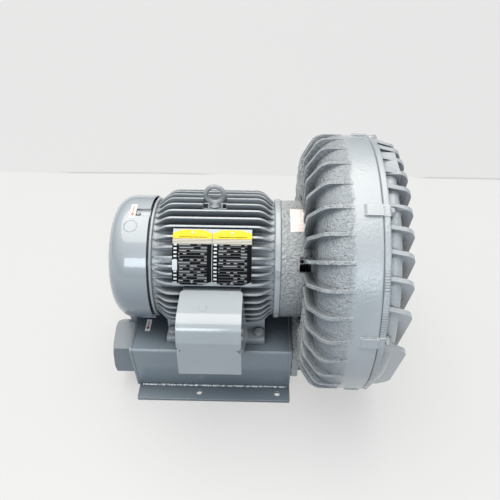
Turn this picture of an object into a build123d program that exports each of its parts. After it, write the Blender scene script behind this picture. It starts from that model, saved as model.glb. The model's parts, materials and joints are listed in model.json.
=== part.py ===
"""Side channel blower: flanged motor, finned blower head and a silencer box as its base.

Frame: the origin is the centre of the foot bolt pattern on the floor, +X runs along the
shaft towards the ribbed cover, -Y is the side with the terminal box, +Z is up. Sizes are
in millimetres. Round parts are drawn about the X axis and lifted to the shaft at the end.
Clock angles are seen along X: 0 is the terminal box side, 90 is the top.
"""
import os
from math import degrees, radians, sin, sqrt

from build123d import *

# ---- fits and clearances ---------------------------------------------------------------
SEAT_GAP = 0.1          # between two fixed round parts that seat in each other
BODY_GAP = 0.5          # between turning and standing parts
RUNNING_FIT = 0.05      # radial play of a turning shaft in a bore
HOLE_PLAY = 0.5         # radial play of a bolt in its clearance hole

# ---- base: silencer box ----------------------------------------------------------------
FOOT_PITCH_X = 162.0
FOOT_PITCH_Y = 278.0
FOOT_HOLE_D = 12.0
FOOT_END_MARGIN = 25.7  # from the last foot hole to the blower end of the base
BASE_LENGTH = 314.0
BASE_WIDTH = 314.0
BASE_PLATE_T = 6.0
BOX_TOP_Z = 131.0
BOX_TOP_WIDTH = 277.0
BOX_FLOOR_WIDTH = 241.0
BOX_CORNER_R = 5.0
SHEET_T = 3.0
END_PLATE_T = 5.0
REAR_OVERHANG = 4.7     # of the rear end plate over the end of the base plate
WELD_SIZE = 4.0
PORT_DROP = 180.0       # pipe ports and ducts below the shaft
FITTING_SIDE = 58.0     # side of the hexagon
FITTING_LENGTH = 38.3
FITTING_TURN = 40.0     # clock angle of the first flat
THREAD_R = 36.5
LINER_T = 7.0
LINER_HEADROOM = 11.0   # from the top of the box down to a liner, for the foot bolts
LINER_END_GAP = 0.3
LINER_FREE_END = 22.0   # open space behind the front end plate
DIVIDER_T = 3.0

# ---- motor -----------------------------------------------------------------------------
MOTOR_HEIGHT = 125.0    # shaft above the motor feet
BRACKET_R = 118.0
FRONT_BRACKET_T = 12.0
REAR_BRACKET_T = 12.0
FRAME_R = 112.0
FRAME_WALL = 13.0
FRAME_LENGTH = 222.0
FIN_R = 134.5
FIN_T = 3.6
FIN_RAMP_REAR = 27.0
FIN_RAMP_FRONT = 24.0
FIN_BEND_R = 26.0
FIN_ANGLES = (86.0, 78.5, 71.0, 63.5, 55.0, 46.8, 38.8, 32.0, 26.0, 18.0)
LOW_FIN_ANGLES = (9.5, 2.0, -5.0, -12.0, -19.0, -27.0)
PLATE_PAD_X = (-70.0, 70.0)      # along the frame, from its middle
PLATE_PAD_ANGLES = (17.0, 61.0)
PLATE_T = 0.8
PLATE_GAP = 1.6
FOOT_BOLT_X = 85.0      # from the middle of the frame
FOOT_BOLT_OUTBOARD = 24.0       # from the middle of a liner, whose crown the bolts pass
FOOT_WEB_GAP = 11.0     # from the bolt to the web that carries the foot
FOOT_WEB_T = 20.0
FOOT_T = 12.0
FOOT_PAD_LENGTH = 46.0
FOOT_PAD_EDGE = 11.0    # from the bolt to the outer end and side of the pad
FOOT_PAD_WIDTH = 44.0
MOTOR_BOLT_R = 5.0
SHAFT_R = 20.0
SHAFT_REAR_R = 15.0
SHAFT_NOSE_R = 16.0
SHAFT_TIP_R = 14.0
ROTOR_CORE_LENGTH = 100.0
STATOR_DEPTH = 37.5     # stator core and air gap, from the frame bore to the rotor
AIR_GAP = 0.5
WINDING_LENGTH = 34.0
FRONT_BEARING_D = 80.0
REAR_BEARING_D = 62.0
BEARING_WIDTH = 18.0
RACE_T = 6.5
FRONT_BALLS = 8
REAR_BALLS = 7

# ---- fan and fan cover -----------------------------------------------------------------
FAN_COVER_R = 122.0
FAN_COVER_LENGTH = 76.0
FAN_COVER_CORNER_R = 38.0
FAN_COVER_T = 2.5
FAN_COVER_GAP = 3.0     # between the open rim and the rear bracket, along the shaft
FAN_R = 95.0
FAN_WIDTH = 38.0
FAN_BLADES = 8
FAN_BLADE_T = 3.0
COVER_SCREW_ANGLES = (81.0, 201.0, 321.0)
COVER_SCREW_LENGTH = 9.0
TROUGH_WIDTH = 19.0
TROUGH_LENGTH = 32.0
TROUGH_DEPTH = 5.0
COVER_SCREW_EDGE = 9.0  # from the blind end of a trough to its screw
GRILLE_SLOTS = 20
GRILLE_SLOT_W = 6.0
GRILLE_R = (38.0, 78.0)

# ---- terminal box ----------------------------------------------------------------------
BOX_WIDTH = 110.5
BOX_TOP = 35.0          # above the shaft
BOX_BOTTOM = -83.0
BOX_BACK = 136.0        # from the shaft to the pad on the frame
BOX_FRONT = 230.0
BOX_BROW = 13.0         # set back of the front at the top
BOX_CREASE_Z = -2.0     # where the brow meets the front panel
BOX_LEAN = 2.0          # set back of the front panel at the crease
BOX_BEND_R = 32.0
BOX_CORNER = 8.0        # rounding of the cover next to the motor
BOX_FLARE = (3.5, 12.5)  # widening of the side walls at the motor, above and below
BOX_BOSS_RISE = 2.0     # of the screw bosses on the side walls
BOX_LOW_BEND_R = 7.0
BOX_SHEET = 2.5
LID_LIP = 12.0
LID_GAP = 0.4
NOTCH_Z = -20.0
NOTCH_SIZE = 9.0
BOX_GASKET_T = 1.5
CONDUIT_R = 14.0

# ---- blower head -----------------------------------------------------------------------
GASKET_T = 1.5
MANIFOLD_T = 9.0
DUCT_R = 27.0
DUCT_WALL = 12.0
ADAPTER_LENGTH = 38.0   # from the motor face to the back of the fins
ADAPTER_R = 115.4
ADAPTER_BORE_R = 100.0
ADAPTER_PLATE_T = 12.0
SPIGOT_R = 62.0
SPIGOT_T = 4.0
FACE_BOLT_R = 88.0      # pitch radius of the four motor face bolts
FACE_BOLT_SIZE = 5.0
WINDOW_LENGTH = 21.0
WINDOW_HEIGHT = 28.0
WINDOW_ANGLE = 33.5
BACK_WALL_X = 18.0      # recess of the wall behind the ends of the fins
RIM_R = 246.0
HEAD_DROP = 4.0         # axis of the rim, fins and cover below the shaft
HOUSING_DEPTH = 117.5   # from the back of the fins to the seam
BODY_BEND_R = 50.0
HEAD_FINS = 34
HEAD_FIN_T = 6.0
HEAD_FIN_RISE = 1.5     # above the rim
HEAD_FIN_LENGTH = 72.0  # along the shaft
HEAD_FIN_SLOPE = (27.0, 42.0)    # of the cut outer corner, along and across the shaft
HEAD_FIN_BEND_R = 25.0
HEAD_FIN_INNER_R = 124.0
HEAD_FIN_FIRST = 7.0
SEAM_GAP = 0.4
RIM_WALL = 31.5         # from the impeller room to the rim, along the radius
CHANNEL_DEPTH = 23.5    # middle of the side channel below the impeller tips
CHANNEL_SIZE = 27.0     # radius of its half round section
STRIPPER_ANGLE = 28.0   # of the bottom where the channel is closed
IMPELLER_WIDTH = 27.0
IMPELLER_BLADES = 40
BLADE_T = 3.0
WEB_T = 5.0
HUB_R = 40.0
HUB_LENGTH = 44.0
HUB_BOLT_LENGTH = 24.0
SEAL_R = 32.0
SEAL_WIDTH = 10.0
COVER_FLANGE_T = 11.0
COVER_STEP = 13.0       # from the rim in to the side of the cover
COVER_DEPTH = 33.5      # from the seam to the face between the ribs
COVER_CORNER_R = 14.0
PLUG_DEPTH = 9.0
RIB_PITCH = 36.0
RIB_T = 8.0
RIB_LEAN = -20.0        # clock angle of the direction across the ribs
RIB_TOP = 54.5          # from the seam to the rib tips
RIB_STEP = (1.5, 14.0)  # from the rim in to the ends of the ribs, at root and tip
RIB_CORNER_R = 24.0
PAD_ANGLE = 85.0
PAD_WIDTH = 64.0
PAD_RISE = 3.0          # above the side of the cover
PAD_DEPTH = 37.5        # from the seam to the end of the pad
LUGS = 7
LUG_FIRST = 7.2
LUG_WIDTH = 19.5
LUG_RISE = 4.0          # above the rim
LUG_STEP = 3.0          # lower outer face of the ears on the cover
LUG_ROOT = 24.0         # inside the rim
LUG_LENGTH = 26.0
LUG_SLOPE = 6.5         # length of the sloping end
LUG_COVER_T = 11.0
LUG_BOLT_R = 4.0
LUG_BOLT_EDGE = 8.8     # from the outer face of an ear to its bolt
LUG_BOLT_GRIP = 22.0    # length of bolt in the housing
LUG_SPOT_R = 9.3        # spot face for the bolt head

# ---- labels ----------------------------------------------------------------------------
LABEL_T = 0.4

# ---- places that follow from the sizes -------------------------------------------------
SHAFT_Z = BOX_TOP_Z + MOTOR_HEIGHT
BASE_FRONT = FOOT_PITCH_X / 2 + FOOT_END_MARGIN
BASE_REAR = BASE_FRONT - BASE_LENGTH
SILENCER_REAR = BASE_REAR - REAR_OVERHANG
PORT_Y = (BOX_TOP_WIDTH + BOX_FLOOR_WIDTH) / 7
LINER_OUTER_R = BOX_TOP_Z - (SHAFT_Z - PORT_DROP) - LINER_HEADROOM
FOOT_BOLT_Y = PORT_Y + FOOT_BOLT_OUTBOARD
LINER_INNER_R = LINER_OUTER_R - LINER_T
MANIFOLD_X = BASE_FRONT + GASKET_T
FINS_X = MANIFOLD_X + MANIFOLD_T
MOTOR_FACE_X = FINS_X - ADAPTER_LENGTH
SEAM_X = FINS_X + HOUSING_DEPTH
COVER_X = SEAM_X + SEAM_GAP
CAVITY_R = RIM_R - RIM_WALL
IMPELLER_R = CAVITY_R - 2 * BODY_GAP
CHANNEL_R = IMPELLER_R - CHANNEL_DEPTH
BLADE_ROOT_R = CHANNEL_R - CHANNEL_SIZE + 1
COVER_R = RIM_R - COVER_STEP
LUG_R = RIM_R + LUG_RISE
LUG_BOLT_PLACE = LUG_R - LUG_BOLT_EDGE
IMPELLER_FRONT = COVER_X - PLUG_DEPTH - BODY_GAP
IMPELLER_BACK = IMPELLER_FRONT - IMPELLER_WIDTH
IMPELLER_MID = (IMPELLER_FRONT + IMPELLER_BACK) / 2
CAVITY_X = IMPELLER_BACK - BODY_GAP
HUB_BACK = IMPELLER_MID - HUB_LENGTH / 2
HUB_FRONT = IMPELLER_MID + HUB_LENGTH / 2
FRAME_FRONT = MOTOR_FACE_X - FRONT_BRACKET_T
FRAME_REAR = FRAME_FRONT - FRAME_LENGTH
FRAME_MID = (FRAME_FRONT + FRAME_REAR) / 2
REAR_FACE = FRAME_REAR - REAR_BRACKET_T
FAN_RIM = REAR_FACE + REAR_BRACKET_T / 3
FAN_COVER_END = FAN_RIM - FAN_COVER_LENGTH
FAN_BACK = REAR_FACE - 14.0
FAN_FRONT = FAN_BACK - FAN_WIDTH
FRONT_BEARING_X = MOTOR_FACE_X - BEARING_WIDTH - 6.0
REAR_BEARING_X = REAR_FACE + 4.0
FRAME_BORE_R = FRAME_R - FRAME_WALL
ROTOR_R = FRAME_BORE_R - STATOR_DEPTH


def turned(points):
    """Body of revolution about X from corners given as (x, radius) or (x, radius, rounding)."""
    return revolve(outline(points), Axis.X)


def outline(points):
    """Closed face through corners given as (a, b) or (a, b, rounding)."""
    corners = [(p[0], p[1]) for p in points]
    bends = [p[2] if len(p) > 2 else 0 for p in points]
    return make_face(FilletPolyline(*corners, radius=bends, close=True))


def clock(angle, shape):
    """Swing a shape drawn at the top of the X axis to a clock angle."""
    return Rot(90 - angle, 0, 0) * shape


def along_x(radius, start, end):
    """Round bar on the X axis from start to end."""
    bar = Cylinder(radius, end - start, align=(Align.CENTER, Align.CENTER, Align.MIN))
    return Pos(start, 0, 0) * Rot(0, 90, 0) * bar


def tube_x(outer, inner, start, end):
    """Ring on the X axis."""
    return along_x(outer, start, end) - along_x(inner, start - 1, end + 1)


def block(x, y, z):
    """Block between pairs of limits."""
    size = (x[1] - x[0], y[1] - y[0], z[1] - z[0])
    return Pos(x[0], y[0], z[0]) * Box(*size, align=(Align.MIN, Align.MIN, Align.MIN))


def upright(radius, bottom, top):
    """Round bar along Z."""
    bar = Cylinder(radius, top - bottom, align=(Align.CENTER, Align.CENTER, Align.MIN))
    return Pos(0, 0, bottom) * bar


def hex_bolt(radius, length, head=None):
    """Hexagon bolt along -X: the head lies on x >= 0 and the shank on x < 0."""
    head = head or 1.3 * radius
    cap = extrude(Plane.YZ * RegularPolygon(1.75 * radius, 6, major_radius=False), head)
    return cap + along_x(radius, -length, 0.5 * head)


def lift(shape):
    """From the shaft to the floor frame."""
    return Pos(0, 0, SHAFT_Z) * shape


def drop(shape):
    """From the shaft to the lower axis of the rim."""
    return Pos(0, 0, -HEAD_DROP) * shape


# ---- base ------------------------------------------------------------------------------
def box_outline(inset=0.0):
    """Section of the silencer box across X: a tray upside down with sloping walls."""
    top = BOX_TOP_WIDTH / 2 - inset
    low = BOX_FLOOR_WIDTH / 2 - inset
    bend = max(BOX_CORNER_R - inset, 0.5)
    height = BOX_TOP_Z - inset
    return [(-low, BASE_PLATE_T), (-top, height, bend), (top, height, bend),
            (low, BASE_PLATE_T)]


def across(points, start, end):
    """Section across X, drawn as (y, z), drawn out from start to end."""
    return extrude(Pos(start, 0, 0) * (Plane.YZ * outline(points)), end - start)


def foot_holes(radius, bottom, top):
    return [Pos(sx * FOOT_PITCH_X / 2, sy * FOOT_PITCH_Y / 2, 0) * upright(radius, bottom, top)
            for sx in (-1, 1) for sy in (-1, 1)]


def make_base_plate():
    plate = block((BASE_REAR, BASE_FRONT), (-BASE_WIDTH / 2, BASE_WIDTH / 2),
                  (0, BASE_PLATE_T))
    plate = fillet(plate.edges().filter_by(Axis.Z), 3)
    return plate.cut(*foot_holes(FOOT_HOLE_D / 2, -1, BASE_PLATE_T + 1))


def make_silencer_shell():
    start = SILENCER_REAR + END_PLATE_T
    end = BASE_FRONT - END_PLATE_T
    shell = across(box_outline(), start, end)
    hollow = across(box_outline(SHEET_T), start - 1, end + 1)
    below = block((start - 1, end + 1), (-BOX_FLOOR_WIDTH / 2 + SHEET_T,
                  BOX_FLOOR_WIDTH / 2 - SHEET_T), (0, BASE_PLATE_T + SHEET_T))
    holes = [Pos(x, y, 0) * upright(MOTOR_BOLT_R + HOLE_PLAY, BOX_TOP_Z - 2 * SHEET_T,
                                    BOX_TOP_Z + 1) for x, y in motor_bolt_places()]
    return shell.cut(hollow, below, *holes)


def end_plate(start):
    return across(box_outline(-1.0), start, start + END_PLATE_T)


def port_place(side):
    return Pos(0, side * PORT_Y, SHAFT_Z - PORT_DROP)


def make_end_plate_rear():
    start = SILENCER_REAR
    ports = [port_place(s) * along_x(THREAD_R, start - 1, start + END_PLATE_T + 1)
             for s in (-1, 1)]
    return end_plate(start).cut(*ports)


def make_end_plate_front():
    start = BASE_FRONT - END_PLATE_T
    ports = [port_place(s) * along_x(DUCT_R, start - 1, BASE_FRONT + 1) for s in (-1, 1)]
    bolts = [Pos(0, y, z) * along_x(LUG_BOLT_R + SEAT_GAP, start - 1, BASE_FRONT + 1)
             for y, z in manifold_bolt_places()]
    return end_plate(start).cut(*ports, *bolts)


def make_divider():
    return block((SILENCER_REAR + END_PLATE_T, BASE_FRONT - END_PLATE_T),
                 (-DIVIDER_T / 2, DIVIDER_T / 2), (BASE_PLATE_T, BOX_TOP_Z - SHEET_T))


def make_liners():
    start = SILENCER_REAR + END_PLATE_T + LINER_END_GAP
    end = BASE_FRONT - END_PLATE_T - LINER_FREE_END
    return [port_place(s) * tube_x(LINER_OUTER_R, LINER_INNER_R, start, end) for s in (-1, 1)]


def make_weld_beads():
    """Fillet weld between each sloping wall and its foot flange."""
    low = BOX_FLOOR_WIDTH / 2 + 0.6
    beads = []
    for s in (-1, 1):
        points = [(s * low, BASE_PLATE_T), (s * (low + WELD_SIZE), BASE_PLATE_T),
                  (s * (low + WELD_SIZE * 0.9), BASE_PLATE_T + WELD_SIZE * 0.6),
                  (s * (low + WELD_SIZE * 0.75), BASE_PLATE_T + WELD_SIZE)]
        beads.append(across(points, BASE_REAR + END_PLATE_T, BASE_FRONT - END_PLATE_T))
    return beads


def make_fitting(side):
    """Hexagon pipe coupling with a chamfered mouth, seated on the end plate."""
    start = SILENCER_REAR - FITTING_LENGTH
    prism = extrude(Plane.YZ * RegularPolygon(FITTING_SIDE, 6), FITTING_LENGTH)
    prism = Pos(start, 0, 0) * Rot(side * (FITTING_TURN - 60), 0, 0) * prism
    cone = turned([(start, 0), (start, FITTING_SIDE * 0.9), (start + 4, FITTING_SIDE * 1.01),
                   (SILENCER_REAR, FITTING_SIDE * 1.01), (SILENCER_REAR, 0)])
    mouth = turned([(start - 1, 0), (start - 1, THREAD_R + 4), (start + 3, THREAD_R),
                    (SILENCER_REAR + 1, THREAD_R), (SILENCER_REAR + 1, 0)])
    return port_place(side) * ((prism & cone) - mouth)


# ---- motor -----------------------------------------------------------------------------
def motor_bolt_places():
    return [(FRAME_MID + sx * FOOT_BOLT_X, sy * FOOT_BOLT_Y) for sx in (-1, 1) for sy in (-1, 1)]


def frame_fin(angle, thickness=FIN_T):
    """Long cooling fin of the frame with sloping ends."""
    root = FRAME_R - 3
    face = outline([(FRAME_REAR + 1, root), (FRAME_REAR + 1, FRAME_R),
                    (FRAME_REAR + FIN_RAMP_REAR, FIN_R, FIN_BEND_R),
                    (FRAME_FRONT - FIN_RAMP_FRONT, FIN_R, FIN_BEND_R),
                    (FRAME_FRONT - 1, FRAME_R), (FRAME_FRONT - 1, root)])
    return clock(angle, extrude(Plane.XZ * face, thickness / 2, both=True))


def arc_pad(angles, x, outer, inner):
    """Part of a ring between two clock angles."""
    face = outline([(x[0], inner), (x[1], inner), (x[1], outer), (x[0], outer)])
    ring = revolve(Plane.XZ * face, Axis.X, revolution_arc=angles[1] - angles[0])
    return Rot(90 - angles[0], 0, 0) * (Rot(angles[0] - angles[1], 0, 0) * ring)


def make_motor_frame():
    barrel = tube_x(FRAME_R, FRAME_BORE_R, FRAME_REAR, FRAME_FRONT)
    fins = []
    for angle in FIN_ANGLES:
        fins += [frame_fin(angle), frame_fin(180 - angle)]
    for angle in LOW_FIN_ANGLES:
        fins += [frame_fin(angle), frame_fin(180 - angle)]
    pad_x = (FRAME_MID + PLATE_PAD_X[0], FRAME_MID + PLATE_PAD_X[1])
    pad = arc_pad(PLATE_PAD_ANGLES, pad_x, FIN_R + 0.5, FRAME_R - 3)
    half = BOX_WIDTH / 2 - 4
    box_pad = block((FRAME_MID - half, FRAME_MID + half), (-(BOX_BACK - BOX_GASKET_T), -60),
                    (BOX_BOTTOM + 4, BOX_TOP - 4))
    boss = Pos(FRAME_MID, 0, 0) * upright(14, FRAME_R - 8, FIN_R - 11)
    clear = Pos(FRAME_MID, 0, 0) * upright(24, FIN_R - 11, FIN_R + 2)
    feet = []
    for x, y in motor_bolt_places():
        s = 1 if x > FRAME_MID else -1
        t = 1 if y > 0 else -1
        xs = sorted((x + s * FOOT_PAD_EDGE, x + s * (FOOT_PAD_EDGE - FOOT_PAD_LENGTH)))
        ys = sorted((y + t * 1.5 * FOOT_PAD_EDGE, y + t * (1.5 * FOOT_PAD_EDGE - FOOT_PAD_WIDTH)))
        feet.append(block(xs, ys, (-MOTOR_HEIGHT, FOOT_T - MOTOR_HEIGHT)))
        inner = sorted((y - t * (FOOT_WEB_GAP + FOOT_WEB_T), y - t * FOOT_WEB_GAP))
        feet.append(block(xs, inner, (FOOT_T - MOTOR_HEIGHT - 1, -0.62 * FRAME_BORE_R)))
    frame = barrel.fuse(*fins, pad, box_pad, boss, *feet)
    bore = along_x(FRAME_BORE_R, FRAME_REAR - 1, FRAME_FRONT + 1)
    holes = [Pos(x, y, 0) * upright(MOTOR_BOLT_R + HOLE_PLAY, -MOTOR_HEIGHT - 1,
                                    FOOT_T - MOTOR_HEIGHT + 1) for x, y in motor_bolt_places()]
    eye = Pos(FRAME_MID, 0, 0) * upright(5 + SEAT_GAP, FRAME_BORE_R + 4, FIN_R)
    return lift(frame.cut(bore, clear, eye, *holes))


def bracket_bolt_angles():
    return (25.6, 154.4, 205.6, 334.4)


def make_front_bracket():
    """Drive end bracket: rim, face with spigot for the adapter, bearing hub."""
    hub = FRONT_BEARING_D / 2
    body = turned([(FRAME_FRONT - 8, FRAME_BORE_R - 0.5), (FRAME_FRONT - 8, FRAME_BORE_R - 8),
                   (FRAME_FRONT - 2, FRAME_BORE_R - 14), (FRAME_FRONT - 2, hub + 9),
                   (FRONT_BEARING_X - 3, hub + 9, 2), (FRONT_BEARING_X - 3, hub + SEAT_GAP),
                   (FRONT_BEARING_X + BEARING_WIDTH, hub + SEAT_GAP),
                   (FRONT_BEARING_X + BEARING_WIDTH, SHAFT_R + BODY_GAP),
                   (MOTOR_FACE_X + SPIGOT_T, SHAFT_R + BODY_GAP),
                   (MOTOR_FACE_X + SPIGOT_T, SPIGOT_R - SEAT_GAP),
                   (MOTOR_FACE_X, SPIGOT_R - SEAT_GAP), (MOTOR_FACE_X, BRACKET_R, 3),
                   (FRAME_FRONT, BRACKET_R, 3), (FRAME_FRONT, FRAME_BORE_R - 0.5)])
    taps = [clock(a, Pos(0, 0, FACE_BOLT_R) * along_x(FACE_BOLT_SIZE + SEAT_GAP,
            FRAME_FRONT - 9, MOTOR_FACE_X + 1)) for a in (45, 135, 225, 315)]
    return lift(body.cut(*taps))


def make_rear_bracket():
    hub = REAR_BEARING_D / 2
    end = REAR_BEARING_X + BEARING_WIDTH
    body = turned([(FRAME_REAR + 8, FRAME_BORE_R - 0.5), (FRAME_REAR + 8, FRAME_BORE_R - 8),
                   (FRAME_REAR - 4, FRAME_BORE_R - 20), (FRAME_REAR - 4, hub + 9),
                   (end, hub + 9, 2), (end, hub + SEAT_GAP), (REAR_BEARING_X, hub + SEAT_GAP),
                   (REAR_BEARING_X, SHAFT_REAR_R + BODY_GAP), (REAR_FACE, SHAFT_REAR_R + BODY_GAP),
                   (REAR_FACE, FAN_COVER_R - 8 - FAN_COVER_T, 2),
                   (FAN_RIM + FAN_COVER_GAP, FAN_COVER_R - 8 - FAN_COVER_T),
                   (FAN_RIM + FAN_COVER_GAP, BRACKET_R, 1.5), (FRAME_REAR, BRACKET_R, 3),
                   (FRAME_REAR, FRAME_BORE_R - 0.5)])
    start = FAN_RIM - TROUGH_LENGTH + COVER_SCREW_EDGE - 8
    seat = FAN_COVER_R - TROUGH_DEPTH - FAN_COVER_T - 3 * SEAT_GAP
    ear = block((start, REAR_FACE + 1), (-7, 7), (FAN_R + 3, seat))
    ears = [clock(a, ear) for a in COVER_SCREW_ANGLES]
    holes = [clock(a, Pos(start + 8, 0, 0) * upright(2.4 + SEAT_GAP, seat - 9, seat + 1))
             for a in COVER_SCREW_ANGLES]
    return lift(body.fuse(*ears).cut(*holes))


def make_bracket_bolts():
    """Four short screws that hold the drive end bracket on the frame, head outwards."""
    heads = []
    for a in bracket_bolt_angles():
        screw = Pos(0, 0, BRACKET_R) * upright(4.5, 0, 3.5)
        heads.append(clock(a, Pos(MOTOR_FACE_X - FRONT_BRACKET_T / 2, 0, 0) * screw))
    return [lift(h) for h in heads]


def make_shaft():
    """One stepped shaft from the cooling fan to the impeller."""
    race_front = FRONT_BEARING_X
    race_rear = REAR_BEARING_X + BEARING_WIDTH
    body = turned([(FAN_FRONT - 2, 0), (FAN_FRONT - 2, SHAFT_REAR_R, 1),
                   (race_rear, SHAFT_REAR_R), (race_rear, SHAFT_R + 2),
                   (race_front, SHAFT_R + 2), (race_front, SHAFT_R), (MOTOR_FACE_X + 10, SHAFT_R),
                   (MOTOR_FACE_X + 10, SHAFT_NOSE_R), (HUB_BACK, SHAFT_NOSE_R),
                   (HUB_BACK, SHAFT_TIP_R), (HUB_FRONT - 2, SHAFT_TIP_R, 1), (HUB_FRONT - 2, 0)])
    keyway = block((HUB_BACK + 5, HUB_FRONT), (-4, 4), (SHAFT_TIP_R - 4, SHAFT_TIP_R + 1))
    tap = along_x(4 + SEAT_GAP, HUB_FRONT - HUB_BOLT_LENGTH, HUB_FRONT)
    return lift(body.cut(keyway, tap))


def make_rotor_core():
    half = ROTOR_CORE_LENGTH / 2
    ring = half + 9
    return lift(turned([(FRAME_MID - ring, 40), (FRAME_MID - ring, ROTOR_R - 3, 1.5),
                        (FRAME_MID - half, ROTOR_R - 3), (FRAME_MID - half, ROTOR_R),
                        (FRAME_MID + half, ROTOR_R), (FRAME_MID + half, ROTOR_R - 3),
                        (FRAME_MID + ring, ROTOR_R - 3, 1.5), (FRAME_MID + ring, 40),
                        (FRAME_MID + half, 40), (FRAME_MID + half, SHAFT_R + 2 + SEAT_GAP),
                        (FRAME_MID - half, SHAFT_R + 2 + SEAT_GAP), (FRAME_MID - half, 40)]))


def make_stator_core():
    half = ROTOR_CORE_LENGTH / 2
    return lift(tube_x(FRAME_BORE_R - SEAT_GAP, ROTOR_R + AIR_GAP, FRAME_MID - half,
                       FRAME_MID + half))


def make_windings():
    half = ROTOR_CORE_LENGTH / 2
    rings = []
    for s in (-1, 1):
        near = FRAME_MID + s * half
        far = FRAME_MID + s * (half + WINDING_LENGTH)
        rings.append(turned([(near, ROTOR_R + 4), (far, ROTOR_R + 6, 6), (far, FRAME_BORE_R - 8, 8),
                             (near, FRAME_BORE_R - 4)]))
    return [lift(r) for r in rings]


def bearing(diameter, bore_r, start, balls):
    """Deep groove ball bearing: outer ring, inner ring and balls."""
    outer = diameter / 2
    end = start + BEARING_WIDTH
    mid = (start + end) / 2
    pitch = (outer + bore_r) / 2
    ball = (outer - bore_r) / 2 - RACE_T + 1.6
    groove = turned([(mid - 4, pitch - ball), (mid + 4, pitch - ball), (mid + 4, pitch + ball),
                     (mid - 4, pitch + ball)])
    rings = (tube_x(outer, outer - RACE_T, start, end), tube_x(bore_r + RACE_T, bore_r + RUNNING_FIT,
             start, end))
    set_of_balls = [clock(360 * k / balls, Pos(mid, 0, pitch) * Sphere(ball - 0.1))
                    for k in range(balls)]
    return [lift(r - groove) for r in rings], [lift(b) for b in set_of_balls]


# ---- fan -------------------------------------------------------------------------------
def make_cooling_fan():
    hub_r = SHAFT_REAR_R + 12
    hub = tube_x(hub_r, SHAFT_REAR_R + RUNNING_FIT, FAN_FRONT, FAN_BACK)
    disc = tube_x(FAN_R * 0.62, hub_r - 1, FAN_BACK - 4, FAN_BACK)
    blades = [clock(360 * k / FAN_BLADES, block((FAN_FRONT, FAN_BACK),
              (-FAN_BLADE_T / 2, FAN_BLADE_T / 2), (hub_r - 2, FAN_R))) for k in range(FAN_BLADES)]
    return lift(hub.fuse(disc, *blades))


def fan_cover_form(inset):
    """Full form of the fan cover, drawn in by a wall, with its screw troughs."""
    radius = FAN_COVER_R - inset
    form = turned([(FAN_RIM + inset, 0), (FAN_RIM + inset, radius),
                   (FAN_COVER_END + inset, radius, FAN_COVER_CORNER_R - inset),
                   (FAN_COVER_END + inset, 0)])
    half = TROUGH_WIDTH / 2 + inset
    end = FAN_RIM - TROUGH_LENGTH - inset
    troughs = []
    for angle in COVER_SCREW_ANGLES:
        low = FAN_COVER_R - TROUGH_DEPTH - inset
        shape = block((end + half, FAN_RIM + inset + 1), (-half, half), (low, FAN_COVER_R + 9))
        shape += Pos(end + half, 0, 0) * upright(half, low, FAN_COVER_R + 9)
        troughs.append(clock(angle, shape))
    return form.cut(*troughs)


def make_fan_cover():
    shell = fan_cover_form(0) - fan_cover_form(FAN_COVER_T)
    shell -= along_x(2 * FAN_COVER_R, FAN_RIM - 0.01, FAN_RIM + FAN_COVER_R)
    shell -= along_x(FAN_COVER_R - FAN_COVER_T - TROUGH_DEPTH - 3, FAN_RIM - 5, FAN_RIM + 5)
    slots = []
    mid = (GRILLE_R[0] + GRILLE_R[1]) / 2
    length = GRILLE_R[1] - GRILLE_R[0]
    for k in range(GRILLE_SLOTS):
        cut = block((FAN_COVER_END - 1, FAN_COVER_END + FAN_COVER_T + 1),
                    (-GRILLE_SLOT_W / 2, GRILLE_SLOT_W / 2), (mid - length / 2, mid + length / 2))
        slots.append(clock(360 * k / GRILLE_SLOTS, cut))
    screws = [clock(a, Pos(FAN_RIM - TROUGH_LENGTH + COVER_SCREW_EDGE, 0, 0)
              * upright(2.4 + HOLE_PLAY, FAN_COVER_R - 2 * TROUGH_DEPTH - FAN_COVER_T, FAN_COVER_R))
              for a in COVER_SCREW_ANGLES]
    return lift(shell.cut(*slots, *screws))


def make_fan_cover_screws():
    seat = FAN_COVER_R - TROUGH_DEPTH
    screw = upright(5.2, seat, seat + 3.2) + upright(2.4, seat - COVER_SCREW_LENGTH, seat + 1)
    place = Pos(FAN_RIM - TROUGH_LENGTH + COVER_SCREW_EDGE, 0, 0)
    return [lift(clock(a, place * screw)) for a in COVER_SCREW_ANGLES]


# ---- terminal box ----------------------------------------------------------------------
def box_side(inset=0.0, back=0.0):
    """Side view of the terminal box as (y, z): flat top, big bend, brow and front panel."""
    bend = BOX_BEND_R - inset
    low = max(BOX_LOW_BEND_R - inset, 0.5)
    front = -(BOX_FRONT - inset)
    return [(-(BOX_BACK + back), BOX_TOP - inset), (front + BOX_BROW, BOX_TOP - inset, bend),
            (front + BOX_LEAN, BOX_CREASE_Z), (front, BOX_BOTTOM + inset, low),
            (-(BOX_BACK + back), BOX_BOTTOM + inset)]


def base_half():
    """Half width of the base where the cover goes over it."""
    return BOX_WIDTH / 2 - BOX_SHEET - LID_GAP


def box_flare(inset=0.0):
    """Lower part of the base behind the lips of the cover, wider towards the motor."""
    top = BOX_TOP - 1.5 * LID_LIP
    low = BOX_BOTTOM + BOX_SHEET + LID_GAP + inset
    near = -(BOX_FRONT - BOX_BROW - LID_LIP - LID_GAP)
    far = -(BOX_BACK + inset)
    half = base_half() - inset
    wide = (half + BOX_FLARE[0], half + BOX_FLARE[1])
    ends = []
    for y, upper, lower in ((near, half, half), (far, wide[0], wide[1])):
        corners = [(FRAME_MID - upper, y, top), (FRAME_MID + upper, y, top),
                   (FRAME_MID + lower, y, low), (FRAME_MID - lower, y, low)]
        ends.append(make_face(Polyline(*corners, close=True)))
    return loft(ends, ruled=True)


def box_screw_places():
    """Two screws in each side wall: (side, height)."""
    return [(s, NOTCH_Z + rise) for s in (-1, 1) for rise in (8, 26)]


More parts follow.
